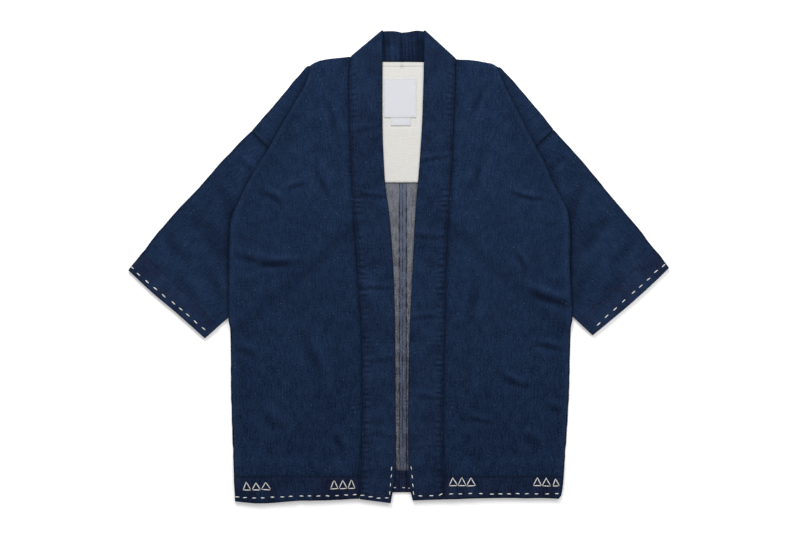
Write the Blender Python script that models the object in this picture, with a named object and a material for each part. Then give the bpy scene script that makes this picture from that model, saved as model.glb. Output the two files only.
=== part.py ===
"""Indigo denim kimono coat, laid flat on its back with both fronts open.

Every piece is a wall of cloth about a curved middle sheet. The sheets come from short tables of rows
in millimetres, one row for each section across the garment. The sleeves are turned down, so each front
folds under itself beside the armhole: a top layer, a return layer and a wing that carries the sleeve.
The origin is at the centre of the garment on the surface it lies on; +Y points to the neck, +Z up.
"""
import math
from collections import namedtuple

import bpy
from mathutils import Vector

MM = 0.001

# Cloth and seams
DENIM = 1.1
CANVAS = 1.0
BAND = 3.0
HEM_EXTRA = 1.3
SEAM_EXTRA = 0.9
SEAM_GAP = 0.3
LAYER_STEP = 1.9
REST_GAP = 0.4

# Heights of the middle sheets above the floor
BACK_MID = DENIM / 2
FRONT_MID = BACK_MID + LAYER_STEP
LINING_MID = DENIM + SEAM_GAP + CANVAS / 2
LABEL_MID = LINING_MID + CANVAS / 2 + SEAM_GAP + CANVAS / 2

# Centre back
CENTRE_X = 8.5
CENTRE_SEAM_HALF = 6.3
SEAM_EDGE = 1.2
CENTRE_SEAM_TOP_Y = 131.0
BACK_FLAT = 60.0
NECK_SEAM_Y = 368.0
NECK_END_OVER = 6.0
NECK_END_INSIDE = 0.5

# Hems: the lines where the turned-up cloth ends, and how it eases out there
BACK_HEM_Y = -406.0
BACK_HEM_LINE_Y = -364.0
BACK_HEM_EASE = 3.0
BACK_HEM_ROWS = (-358.0, BACK_HEM_LINE_Y, BACK_HEM_LINE_Y - BACK_HEM_EASE, -385.0, BACK_HEM_Y)
BACK_PLAIN_Y = -340.0
HEM_TUCK = 4.0
HEM_SWEEP = 120.0
HEM_SHARE_Y = -342.0
HEM_SHARE_EASE = 18.0
FRONT_HEM_LINE_Y = -372.0
FRONT_HEM_EASE = 6.0
CUFF_HEM_ROWS = 3
BAND_HEM_CLEAR = 0.1

# Lining and labels
LINING_EASE = 22.0
LINING_REACH = 30.0
LINING_TOP_Y = NECK_SEAM_Y - SEAM_GAP
LINING_LOW_Y = 151.0
LINING_LEFT_X = -78.0
LINING_RIGHT_X = 92.0
LABEL_MAIN_BOX = (-25.0, 268.0, 32.0, 337.5)
LABEL_SMALL_BOX = (-13.0, 253.6, 22.0, 268.0 - SEAM_GAP)

# How far a raised layer eases down on to the layer below
STACK_EASE = 42.0
STACK_OVER = 20.0
STACK_EASE_UP = 26.0
STACK_EASE_DOWN = 30.0
STACK_REACH_DOWN = 52.5
ROOT_EASE = 32.0
ROOT_OVER = 24.0
ROOT_CLEAR = 8.0
WING_END = 20.0
ARMPIT_MARGIN = 22.0
EDGE_TUCK = 1.6
SHOULDER_TUCK = 2.4
EDGE_DROP_MID = 0.9
ROLL_RADIUS = 2.6
WING_SEAM_STEP = 2.0

# Where the band rises to turn over at the shoulder
BAND_TURN_Y = 340.0
BAND_TURN_EASE = 34.0

# One row across a front: y, the band seam, the outer edge (fold or side seam)
FrontRow = namedtuple("FrontRow", "y seam_x edge_x")
# One row of the wing's shoulder edge
ShoulderRow = namedtuple("ShoulderRow", "y edge_x")
# One row across a sleeve: top fold point, lower edge point
SleeveRow = namedtuple("SleeveRow", "top_x top_y low_x low_y")
# One row along the collar band: seam edge point, free edge point
BandRow = namedtuple("BandRow", "seam_x seam_y free_x free_y")
# One point of a front's hem line
HemPoint = namedtuple("HemPoint", "x y")

FRONT_LEFT = (
    FrontRow(374.0, -89.5, -125.0),
    FrontRow(366.0, -89.2, -152.0),
    FrontRow(357.0, -89.0, -165.0),
    FrontRow(347.0, -89.0, -158.0),
    FrontRow(325.0, -88.8, -168.7),
    FrontRow(292.5, -88.3, -187.7),
    FrontRow(262.0, -87.0, -205.3),
    FrontRow(243.5, -86.5, -215.8),
    FrontRow(213.0, -85.5, -232.7),
    FrontRow(179.0, -84.3, -254.3),
    FrontRow(141.0, -82.3, -275.9),
    FrontRow(114.0, -80.8, -288.5),
    FrontRow(90.0, -79.2, -299.3),
    FrontRow(53.0, -76.8, -303.3),
    FrontRow(20.0, -74.6, -304.2),
    FrontRow(-12.0, -72.8, -304.7),
    FrontRow(-35.0, -71.2, -304.9),
    FrontRow(-58.0, -70.0, -305.1),
    FrontRow(-80.0, -68.4, -305.5),
    FrontRow(-97.0, -67.2, -305.0),
    FrontRow(-113.0, -66.7, -302.4),
    FrontRow(-170.0, -65.3, -301.5),
    FrontRow(-222.0, -64.2, -301.0),
    FrontRow(-276.0, -65.0, -299.5),
    FrontRow(-330.0, -66.2, -297.5),
    FrontRow(-358.0, -66.8, -296.4),
    FrontRow(-378.0, -67.2, -295.8),
    FrontRow(-398.0, -68.0, -295.0),
    FrontRow(-420.0, -69.0, -293.5),
)
SHOULDER_LEFT = (
    ShoulderRow(347.0, -175.5),
    ShoulderRow(325.0, -193.7),
    ShoulderRow(292.5, -220.5),
    ShoulderRow(262.0, -248.0),
    ShoulderRow(243.5, -264.0),
)
SLEEVE_LEFT = (
    SleeveRow(-264.0, 243.5, -105.0, 83.5),
    SleeveRow(-281.5, 227.5, -121.5, 69.1),
    SleeveRow(-299.0, 208.5, -143.7, 49.6),
    SleeveRow(-323.5, 182.5, -170.3, 26.3),
    SleeveRow(-347.0, 155.0, -198.2, 1.9),
    SleeveRow(-372.5, 127.5, -226.0, -22.5),
    SleeveRow(-397.5, 101.5, -253.8, -46.9),
    SleeveRow(-423.5, 71.5, -284.1, -73.4),
    SleeveRow(-444.0, 47.0, -307.1, -93.5),
    SleeveRow(-456.0, 30.0, -319.2, -104.1),
    SleeveRow(-470.0, 13.0, -332.5, -115.8),
    SleeveRow(-484.5, -5.0, -347.0, -128.5),
)
BAND_LEFT = (
    BandRow(-69.0, -417.3, -14.5, -424.0),
    BandRow(-68.2, -400.0, -9.5, -402.0),
    BandRow(-67.3, -378.0, -6.0, -378.0),
    BandRow(-66.8, -355.0, -4.0, -355.0),
    BandRow(-65.0, -290.0, -4.5, -290.0),
    BandRow(-64.0, -228.0, -5.0, -228.0),
    BandRow(-65.4, -160.0, -5.5, -160.0),
    BandRow(-67.3, -98.0, -6.0, -98.0),
    BandRow(-71.0, -42.0, -7.5, -42.0),
    BandRow(-73.5, 5.0, -9.5, 5.0),
    BandRow(-77.0, 58.0, -13.0, 58.0),
    BandRow(-79.8, 100.0, -17.0, 100.0),
    BandRow(-82.9, 154.0, -24.0, 154.0),
    BandRow(-84.8, 200.0, -26.5, 200.0),
    BandRow(-86.2, 238.0, -28.0, 238.0),
    BandRow(-87.5, 280.0, -28.4, 284.0),
    BandRow(-88.0, 318.0, -28.4, 334.0),
    BandRow(-88.2, 345.0, -28.4, 375.0),
    BandRow(-87.0, 360.0, -28.4, 398.0),
)
NECK_LEFT = (
    BandRow(-70.0, NECK_SEAM_Y, -22.0, 419.0),
    BandRow(-52.0, NECK_SEAM_Y, -15.0, 420.5),
    BandRow(-32.0, NECK_SEAM_Y, -9.0, 421.0),
    BandRow(-12.0, NECK_SEAM_Y, -2.0, 420.5),
    BandRow(5.7, NECK_SEAM_Y, 5.7, 420.0),
)
FRONT_RIGHT = (
    FrontRow(371.5, 103.5, 141.0),
    FrontRow(365.5, 103.2, 167.0),
    FrontRow(356.0, 103.0, 185.0),
    FrontRow(346.0, 102.8, 179.0),
    FrontRow(325.0, 102.0, 189.5),
    FrontRow(292.5, 101.0, 206.5),
    FrontRow(262.0, 99.5, 221.8),
    FrontRow(245.5, 99.0, 230.0),
    FrontRow(215.0, 97.9, 246.1),
    FrontRow(184.5, 96.6, 262.3),
    FrontRow(150.0, 94.6, 277.0),
    FrontRow(118.0, 92.6, 295.0),
    FrontRow(95.0, 91.0, 304.4),
    FrontRow(53.0, 88.4, 308.0),
    FrontRow(20.0, 86.8, 307.4),
    FrontRow(-12.0, 85.2, 307.5),
    FrontRow(-35.0, 84.6, 309.0),
    FrontRow(-56.0, 84.2, 310.6),
    FrontRow(-77.0, 83.9, 311.5),
    FrontRow(-94.0, 83.6, 311.4),
    FrontRow(-110.0, 83.3, 309.2),
    FrontRow(-170.0, 81.8, 307.4),
    FrontRow(-222.0, 80.3, 306.0),
    FrontRow(-276.0, 80.2, 303.2),
    FrontRow(-330.0, 80.2, 299.4),
    FrontRow(-358.0, 80.4, 297.4),
    FrontRow(-378.0, 80.9, 296.0),
    FrontRow(-396.0, 81.5, 295.0),
    FrontRow(-417.0, 82.3, 291.5),
)
SHOULDER_RIGHT = (
    ShoulderRow(346.0, 194.0),
    ShoulderRow(325.0, 212.5),
    ShoulderRow(292.5, 240.5),
    ShoulderRow(262.0, 265.0),
    ShoulderRow(245.5, 278.5),
)
SLEEVE_RIGHT = (
    SleeveRow(278.5, 245.5, 115.5, 91.5),
    SleeveRow(294.5, 228.0, 131.3, 77.0),
    SleeveRow(311.5, 209.5, 152.7, 57.3),
    SleeveRow(335.0, 182.5, 178.3, 33.9),
    SleeveRow(360.0, 152.5, 205.0, 9.3),
    SleeveRow(385.0, 122.0, 231.8, -15.3),
    SleeveRow(408.0, 95.0, 258.5, -39.8),
    SleeveRow(432.0, 67.0, 287.6, -66.5),
    SleeveRow(449.0, 44.0, 309.6, -86.8),
    SleeveRow(460.0, 30.5, 321.3, -97.4),
    SleeveRow(472.5, 15.0, 334.0, -109.2),
    SleeveRow(484.5, -1.5, 348.0, -122.0),
)
BAND_RIGHT = (
    BandRow(82.3, -418.6, 26.0, -420.5),
    BandRow(81.6, -398.0, 21.0, -399.0),
    BandRow(80.9, -378.0, 19.0, -378.0),
    BandRow(80.4, -355.0, 18.0, -355.0),
    BandRow(80.2, -290.0, 17.5, -290.0),
    BandRow(80.3, -228.0, 18.0, -228.0),
    BandRow(81.9, -163.0, 19.0, -163.0),
    BandRow(83.5, -98.0, 21.0, -98.0),
    BandRow(84.4, -33.0, 24.0, -33.0),
    BandRow(86.2, 20.0, 26.8, 20.0),
    BandRow(89.3, 75.0, 29.4, 75.0),
    BandRow(91.8, 118.0, 32.2, 118.0),
    BandRow(94.6, 160.0, 36.0, 160.0),
    BandRow(97.2, 208.0, 39.6, 208.0),
    BandRow(99.3, 264.0, 43.0, 264.0),
    BandRow(100.6, 290.0, 44.0, 293.0),
    BandRow(101.8, 320.0, 45.2, 336.0),
    BandRow(102.2, 343.0, 46.0, 374.0),
    BandRow(102.0, 357.0, 46.6, 397.0),
)
NECK_RIGHT = (
    BandRow(88.0, NECK_SEAM_Y, 40.0, 420.5),
    BandRow(68.0, NECK_SEAM_Y, 33.0, 422.0),
    BandRow(48.0, NECK_SEAM_Y, 26.0, 422.0),
    BandRow(26.0, NECK_SEAM_Y, 16.0, 421.0),
    BandRow(6.0, NECK_SEAM_Y, 6.0, 420.0),
)
# The diagonal fold where each band turns from the front to the neck
CORNER_LEFT = BandRow(-84.0, 376.0, -28.4, 422.5)
CORNER_RIGHT = BandRow(102.0, 371.0, 47.0, 423.0)

HEM_LEFT = (
    HemPoint(-294.0, -420.5),
    HemPoint(-250.0, -424.5),
    HemPoint(-180.0, -421.0),
    HemPoint(-116.0, -418.5),
    HemPoint(-69.0, -417.0),
)
HEM_RIGHT = (
    HemPoint(82.0, -418.6),
    HemPoint(129.0, -417.0),
    HemPoint(200.0, -416.0),
    HemPoint(250.0, -415.0),
    HemPoint(292.0, -413.5),
)

# Layout of the columns
FRONT_COLUMNS = 7
RETURN_COLUMNS = 4
WING_COLUMNS = 4
FOLD_STEPS = 4
ROLL_STEPS = 3
SLEEVE_COLUMNS = 8
BAND_SPREAD = (0.0, 0.35, 0.75, 0.93, 1.0)
BAND_EDGE = (1.0, 1.0, 1.0, 0.8, 0.45)


def ease(t):
    """Smooth step from 0 to 1."""
    t = min(1.0, max(0.0, t))
    return t * t * (3.0 - 2.0 * t)


def blend(a, b, t):
    """Straight blend between two numbers."""
    return a + (b - a) * t


def look_up(table, key, value, at):
    """Read a column of a table between its rows, held level past its ends."""
    rows = sorted(table, key=lambda row: getattr(row, key))
    if at <= getattr(rows[0], key):
        return getattr(rows[0], value)
    for low, high in zip(rows, rows[1:]):
        reach = getattr(high, key)
        if at <= reach:
            start = getattr(low, key)
            return blend(getattr(low, value), getattr(high, value), (at - start) / (reach - start))
    return getattr(rows[-1], value)


def line_distance(x, y, ax, ay, bx, by):
    """Signed distance of a point from the line a-b, positive to the right of a to b."""
    length = math.hypot(bx - ax, by - ay)
    return ((x - ax) * (by - ay) - (y - ay) * (bx - ax)) / length


class Side:
    """One side of the coat: its tables, the lines of its pleat and the heights that its layers share."""

    def __init__(self, sign, front, shoulder, fold_top_x, sleeve, band, neck, corner, hem):
        self.sign = sign
        self.front = front
        self.shoulder = shoulder
        self.fold_top_x = fold_top_x
        self.sleeve = sleeve
        self.band = band
        self.neck = neck
        self.corner = corner
        self.hem = hem
        self.fold_top_y = shoulder[0].y
        self.armhole_top_y = sleeve[0].top_y
        self.underarm_y = sleeve[0].low_y
        self.armpit_y = self.armpit()

    def armpit(self):
        """Height at which the sleeve's lower edge comes out from under the front."""
        inside = [row.y for row in self.front if abs(self.lower_edge_x(row.y)) < abs(row.edge_x)]
        return min(inside)

    def lower_edge_x(self, y):
        """The line of the sleeve's lower edge, along which the side seam turns under."""
        root = self.sleeve[0]
        cuff = self.sleeve[-1]
        return blend(root.low_x, cuff.low_x, (root.low_y - y) / (root.low_y - cuff.low_y))

    def inner_x(self, y):
        """Inner limit of the return layer: the inner fold down to the underarm, then the side seam."""
        root = self.sleeve[0]
        if y <= root.low_y:
            return self.lower_edge_x(y)
        return blend(root.low_x, self.fold_top_x, (y - root.low_y) / (self.fold_top_y - root.low_y))

    def wing_x(self, y):
        """Outer edge of the wing: the shoulder edge, then the armhole seam."""
        root = self.sleeve[0]
        if y >= root.top_y:
            return look_up(self.shoulder, "y", "edge_x", y)
        return blend(root.low_x, root.top_x, (y - root.low_y) / (root.top_y - root.low_y))

    def has_return(self, y):
        """Whether the folded layer is there at a height."""
        return self.armpit_y <= y <= self.fold_top_y

    def has_wing(self, y):
        """Whether the wing is there at a height."""
        return self.underarm_y + WING_END <= y <= self.fold_top_y

    def root(self, x, y):
        """How far the sleeve's root lifts a layer at a place: 1 over it, 0 away from it."""
        first = self.sleeve[0]
        last = self.sleeve[-1]
        past_armhole = self.sign * line_distance(x, y, first.low_x, first.low_y, first.top_x, first.top_y)
        past_lower = self.sign * line_distance(x, y, last.low_x, last.low_y, first.low_x, first.low_y)
        edge = look_up(self.front, "y", "edge_x", y)
        outside = (x - edge) * self.sign
        lift = ease((ROOT_EASE + ROOT_OVER + past_armhole) / ROOT_EASE)
        lift *= ease((ROOT_EASE + ROOT_OVER + past_lower) / ROOT_EASE)
        lift *= 1.0 - ease((outside - ROOT_CLEAR) / ROOT_EASE)
        return lift

    def stack(self, x, y):
        """1 over the pleat, easing to 0 towards the band, the neck and the armpit."""
        inside = self.sign * (self.inner_x(y) - x) - STACK_OVER
        across = ease(1.0 - inside / STACK_EASE)
        up = 1.0 - ease((y - self.fold_top_y) / STACK_EASE_UP)
        down = ease((y - self.armpit_y + STACK_REACH_DOWN) / STACK_EASE_DOWN)
        return across * up * down

    def wing_height(self, x, y):
        """Height of the wing's middle sheet."""
        return FRONT_MID + LAYER_STEP * self.root(x, y)

    def lift(self, x, y):
        """Height that the pleat and the sleeve's root add to the front."""
        return (2.0 * LAYER_STEP + LAYER_STEP * self.root(x, y)) * self.stack(x, y)

    def front_height(self, x, y):
        """Height of the middle sheet of the front's top layer."""
        return FRONT_MID + (2.0 * HEM_EXTRA + SEAM_GAP) * hem_share(y) + self.lift(x, y)

    def hem_y(self, x):
        """The front's hem line."""
        return look_up(self.hem, "x", "y", x)


def hem_share(y):
    """1 over the back's doubled hem, easing to 0 above it."""
    return ease((HEM_SHARE_Y - y) / HEM_SHARE_EASE)


def lining_rise(y):
    """Height that the lining adds to what lies on it."""
    return (CANVAS + SEAM_GAP) * ease((y - LINING_LOW_Y + LINING_REACH) / LINING_EASE)


def cloth_wall(name, rows, above, below, material, closed=False):
    """Build a wall of cloth about a grid of middle points.

    rows is a list of rows of (x, y, z) in millimetres or None where there is no cloth. above and below are
    functions of (row, column) that give the thickness on each side. closed joins the last column to the
    first. The rows run so that row-then-column turns anticlockwise seen from the upper side.
    """
    count = len(rows)
    wide = len(rows[0])
    present = {(i, j) for i in range(count) for j in range(wide) if rows[i][j] is not None}
    spans = wide if closed else wide - 1

    cells = []
    for i in range(count - 1):
        for j in range(spans):
            corners = ((i, j), (i, (j + 1) % wide), (i + 1, (j + 1) % wide), (i + 1, j))
            if all(corner in present for corner in corners):
                cells.append(corners)

    points = {key: Vector(rows[key[0]][key[1]]) for key in present}
    normals = {key: Vector((0.0, 0.0, 0.0)) for key in present}
    for corners in cells:
        a, b, c, d = (points[corner] for corner in corners)
        normal = (c - a).cross(d - b)
        normal.normalize()
        for corner in corners:
            normals[corner] += normal

    used = sorted({corner for corners in cells for corner in corners})
    upper = {}
    lower = {}
    coordinates = []
    for key in used:
        normal = normals[key].normalized()
        upper[key] = len(coordinates)
        coordinates.append((points[key] + normal * above(*key)) * MM)
    for key in used:
        normal = normals[key].normalized()
        lower[key] = len(coordinates)
        coordinates.append((points[key] - normal * below(*key)) * MM)

    faces = []
    edges = {}
    for corners in cells:
        faces.append([upper[corner] for corner in corners])
        faces.append([lower[corner] for corner in reversed(corners)])
        for start, end in zip(corners, corners[1:] + corners[:1]):
            if (end, start) in edges:
                del edges[(end, start)]
            else:
                edges[(start, end)] = True
    for start, end in edges:
        faces.append([lower[start], lower[end], upper[end], upper[start]])

    mesh = bpy.data.meshes.new(name)
    mesh.from_pydata([tuple(point) for point in coordinates], [], faces)
    mesh.validate()
    mesh.update()
    mesh.materials.append(material)
    mesh.shade_smooth()
    mesh.set_sharp_from_angle(angle=math.radians(40.0))
    piece = bpy.data.objects.new(name, mesh)
    bpy.context.scene.collection.objects.link(piece)
    return piece


def even(thickness):
    """The same thickness all over, half on each side of the sheet."""
    return lambda i, j: thickness / 2


def edge_roll(edge, sign, height, y, floor):
    """Middle points that turn down over the edge of the layer below, to a height above the floor."""
    drop = height - floor
    radius = min(drop, ROLL_RADIUS)
    points = []
    for step in range(ROLL_STEPS):
        angle = math.pi / 2 * step / (ROLL_STEPS - 1)
        x = edge - sign * (DENIM / 2 + radius * (1.0 - math.sin(angle)))
        points.append((x, y, height - radius * (1.0 - math.cos(angle))))
    points[-1] = (points[-1][0], y, floor)
    return points


def front_rows(side):
    """Grid of the front: top layer, then the fold, the return layer, the inner fold and the wing."""
    sign = side.sign
    rows = []
    pleat_columns = FOLD_STEPS + RETURN_COLUMNS + FOLD_STEPS + WING_COLUMNS + ROLL_STEPS + 1
    for row in side.front:
        seam = row.seam_x + sign * SEAM_GAP
        if side.has_return(row.y):
            end = row.edge_x - sign * (DENIM / 2 + LAYER_STEP / 2)
            rest = pleat_points(side, row.y, end)
        else:
            height = side.front_height(row.edge_x, row.y)
            beside_sleeve = side.armpit_y - ARMPIT_MARGIN < row.y < side.armpit_y
            floor = height - LAYER_STEP / 2 if beside_sleeve else EDGE_DROP_MID
            rest = edge_roll(row.edge_x, sign, height, row.y, floor)
            end = rest[0][0]
        rest.extend([None] * (pleat_columns - len(rest)))
        line = []
        for column in range(FRONT_COLUMNS):
            x = blend(seam, end, column / FRONT_COLUMNS)
            line.append((x, row.y, side.front_height(x, row.y)))
        line.extend(rest)
        if row is side.front[-1]:
            line = [None if p is None else (p[0], side.hem_y(p[0]), p[2]) for p in line]
        rows.append(line)
    return rows


def pleat_points(side, y, end):
    """The folded part of one row, from the outer fold to the wing's edge."""
    sign = side.sign
    radius = LAYER_STEP / 2
    top = side.front_height(end, y)
    points = []
    for step in range(FOLD_STEPS + 1):
        angle = math.pi * step / FOLD_STEPS
        x = end + sign * radius * math.sin(angle)
        points.append((x, y, top - radius + radius * math.cos(angle)))
    stop = side.inner_x(y)
    if side.has_wing(y):
        stop += sign * radius
    for column in range(1, RETURN_COLUMNS + 1):
        x = blend(end, stop, column / RETURN_COLUMNS)
        points.append((x, y, side.wing_height(x, y) + LAYER_STEP))
    if not side.has_wing(y):
        return points
    high = side.wing_height(stop, y) + LAYER_STEP
    for step in range(1, FOLD_STEPS + 1):
        angle = math.pi * step / FOLD_STEPS
        x = stop - sign * radius * math.sin(angle)
        points.append((x, y, high - radius + radius * math.cos(angle)))
    wing = side.wing_x(y)
    if y > side.armhole_top_y:
        roll = edge_roll(wing, sign, side.wing_height(wing, y), y, EDGE_DROP_MID)
    else:
        roll = []
        for step in reversed(range(ROLL_STEPS)):
            x = wing - sign * (SEAM_GAP + WING_SEAM_STEP * step)
            roll.append((x, y, side.wing_height(x, y)))
    for column in range(1, WING_COLUMNS + 1):
        x = blend(stop, roll[0][0], column / (WING_COLUMNS + 1))
        points.append((x, y, side.wing_height(x, y)))
    return points + roll


def make_front(name, side, material):
    """A front: one wall of denim with a turned-up hem."""
    rows = front_rows(side)
    if side.sign > 0:
        rows.reverse()

    def below(i, j):
        y = rows[i][j][1]
        inside = j < FRONT_COLUMNS - 1
        hem = HEM_EXTRA * ease((FRONT_HEM_LINE_Y - y) / FRONT_HEM_EASE) if inside else 0.0
        return DENIM / 2 + hem

    return cloth_wall(name, rows, lambda i, j: DENIM / 2, below, material)


def back_edge(side, y):
    """Outer edge of the back at a height, just inside the edge of what lies over it."""
    sign = side.sign
    if y > side.fold_top_y:
        return look_up(side.front, "y", "edge_x", y) - sign * EDGE_TUCK
    if y >= side.armhole_top_y:
        return side.wing_x(y) - sign * EDGE_TUCK
    tuck = EDGE_TUCK + HEM_EXTRA * hem_share(y)
    side_line = look_up(side.front, "y", "edge_x", y) - sign * tuck
    if y < side.underarm_y:
        return side_line
    return sign * max(sign * side_line, sign * side.wing_x(y) - SEAM_GAP)


def make_back(name, side, material):
    """A back half, flat on the floor, with its hem and centre seam doubled on the upper side."""
    sign = side.sign
    heights = [row.y for row in side.front if row.y > BACK_PLAIN_Y]
    heights += BACK_HEM_ROWS
    centre = CENTRE_X + sign * SEAM_GAP / 2
    seam_edge = CENTRE_X + sign * CENTRE_SEAM_HALF
    neck_end = side.corner.seam_x + sign * NECK_END_OVER
    rows = []
    for y in heights:
        edge = back_edge(side, y)
        steps = [centre, seam_edge, seam_edge + sign * SEAM_EDGE, CENTRE_X + sign * BACK_FLAT]
        steps += [side.corner.seam_x, neck_end, blend(neck_end, edge, 0.5), edge]
        line = []
        for x in steps:
            place = y
            if y > side.fold_top_y:
                place = y - SHOULDER_TUCK
            if y == heights[0] and abs(x) < abs(neck_end) - NECK_END_INSIDE:
                place = NECK_SEAM_Y - SEAM_GAP
            if y == BACK_HEM_Y:
                low = side.hem_y(edge) + HEM_TUCK
                place = blend(BACK_HEM_Y, low, ease(abs(x - centre) / HEM_SWEEP))
            line.append((x, place, BACK_MID))
        rows.append(line)
    if sign > 0:
        rows.reverse()

    def above(i, j):
        y = rows[i][j][1]
        hem = HEM_EXTRA * ease((BACK_HEM_LINE_Y - y) / BACK_HEM_EASE)
        seam = SEAM_EXTRA if j <= 1 and y < CENTRE_SEAM_TOP_Y else 0.0
        return DENIM / 2 + max(hem, seam)

    return cloth_wall(name, rows, above, lambda i, j: DENIM / 2, material)


def make_sleeve(name, side, material):
    """A sleeve: a flattened tube, open at the armhole and the cuff, with a doubled cuff hem."""
    sign = side.sign
    radius = LAYER_STEP / 2
    rows = []
    for index, row in enumerate(side.sleeve):
        top = Vector((row.top_x, row.top_y))
        low = Vector((row.low_x, row.low_y))
        across = (top - low).normalized()
        along = Vector((sign * abs(across.y), -abs(across.x)))
        if index == 0:
            top = top + along * SEAM_GAP
            low = low + along * SEAM_GAP
        start = low + across * (radius + DENIM / 2)
        stop = top - across * (radius + DENIM / 2)
        floor_line = []
        roof_line = []
        for column in range(SLEEVE_COLUMNS + 1):
            spot = start.lerp(stop, column / SLEEVE_COLUMNS)
            base = BACK_MID + LAYER_STEP * side.root(spot.x, spot.y)
            floor_line.append((spot.x, spot.y, base))
            roof_line.append((spot.x, spot.y, base + LAYER_STEP + hem_puff(index, side)))
        ring = list(floor_line)
        ring.extend(turn_over(stop, across, floor_line[-1][2], roof_line[-1][2]))
        ring.extend(reversed(roof_line))
        ring.extend(turn_over(start, -across, roof_line[0][2], floor_line[0][2]))
        rows.append(ring)
    if sign < 0:
        rows.reverse()
    count = len(rows)

    def below(i, j):
        place = i if sign > 0 else count - 1 - i
        return DENIM / 2 + (HEM_EXTRA if place >= count - CUFF_HEM_ROWS else 0.0)

    return cloth_wall(name, rows, lambda i, j: DENIM / 2, below, material, closed=True)


def hem_puff(index, side):
    """Extra height inside the cuff, where both walls are doubled."""
    from_cuff = len(side.sleeve) - 1 - index
    return 2.0 * HEM_EXTRA * ease(CUFF_HEM_ROWS - from_cuff)


def turn_over(centre, outward, from_z, to_z):
    """Points of a flat tube's round edge, between its two walls."""
    middle = (from_z + to_z) / 2
    half = (to_z - from_z) / 2
    points = []
    for step in range(1, FOLD_STEPS):
        angle = math.pi * step / FOLD_STEPS
        spot = centre + outward * abs(half) * math.sin(angle)
        points.append((spot.x, spot.y, middle - half * math.cos(angle)))
    return points


def band_line(row, heights):
    """Middle points of the band across one section, from its seam edge to its free edge."""
    line = []
    for share, height in zip(BAND_SPREAD, heights):
        x = blend(row.seam_x, row.free_x, share)
        y = blend(row.seam_y, row.free_y, share)
        line.append((x, y, height))
    return line


def make_collar(name, side, material):
    """One half of the collar: the doubled band up the front, over the shoulder and to the centre back."""
    half = BAND / 2
    under_mid = half
    over_mid = under_mid + BAND + REST_GAP
    rows = []
    for row in side.band:
        heights = []
        for share in BAND_SPREAD:
            x = blend(row.seam_x, row.free_x, share)
            y = blend(row.seam_y, row.free_y, share)
            rest = DENIM + REST_GAP + half + lining_rise(y) + side.lift(x, y)
            rest += (HEM_EXTRA + BAND_HEM_CLEAR) * hem_share(y)
            heights.append(blend(rest, over_mid, ease((y - BAND_TURN_Y) / BAND_TURN_EASE)))
        rows.append(band_line(row, heights))
    rows.extend(corner_rows(side, under_mid, over_mid))
    for row in side.neck:
        rows.append(band_line(row, [under_mid] * len(BAND_SPREAD)))
    if side.sign < 0:
        rows.reverse()
    last = len(BAND_SPREAD) - 1
    return cloth_wall(
        name,
        rows,
        lambda i, j: half * BAND_EDGE[min(j, last)],
        lambda i, j: half * BAND_EDGE[min(j, last)],
        material,
    )


def corner_rows(side, under_mid, over_mid):
    """Sections round the diagonal fold, from the upper strand to the strand at the neck."""
    corner = side.corner
    radius = (over_mid - under_mid) / 2
    seam = Vector((corner.seam_x, corner.seam_y))
    free = Vector((corner.free_x, corner.free_y))
    along = (free - seam).normalized()
    outward = Vector((-along.y, along.x)) * -side.sign
    if outward.y < 0:
        outward = -outward
    rows = []
    for step in range(FOLD_STEPS + 1):
        angle = math.pi * step / FOLD_STEPS
        reach = radius * math.sin(angle) - radius - BAND / 2
        height = (over_mid + under_mid) / 2 + radius * math.cos(angle)
        shift = outward * reach
        row = BandRow(seam.x + shift.x, seam.y + shift.y, free.x + shift.x, free.y + shift.y)
        rows.append(band_line(row, [height] * len(BAND_SPREAD)))
    return rows


def make_patch(name, box, mid, thickness, columns, count, material):
    """A flat rectangle of cloth."""
    left, low, right, high = box
    rows = []
    for i in range(count + 1):
        y = blend(high, low, i / count)
        rows.append([(blend(left, right, j / columns), y, mid) for j in range(columns + 1)])
    rows = [list(reversed(line)) for line in rows]
    return cloth_wall(name, rows, even(thickness), even(thickness), material)


def cloth_material(name, colour, roughness):
    """A plain woven cloth."""
    material = bpy.data.materials.new(name)
    material.use_nodes = True
    shader = material.node_tree.nodes["Principled BSDF"]
    shader.inputs["Base Color"].default_value = (*colour, 1.0)
    shader.inputs["Roughness"].default_value = roughness
    shader.inputs["Metallic"].default_value = 0.0
    material.diffuse_color = (*colour, 1.0)
    return material


def clear_scene():
    """Remove every object that the file starts with."""
    for thing in list(bpy.data.objects):
        bpy.data.objects.remove(thing, do_unlink=True)


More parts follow.
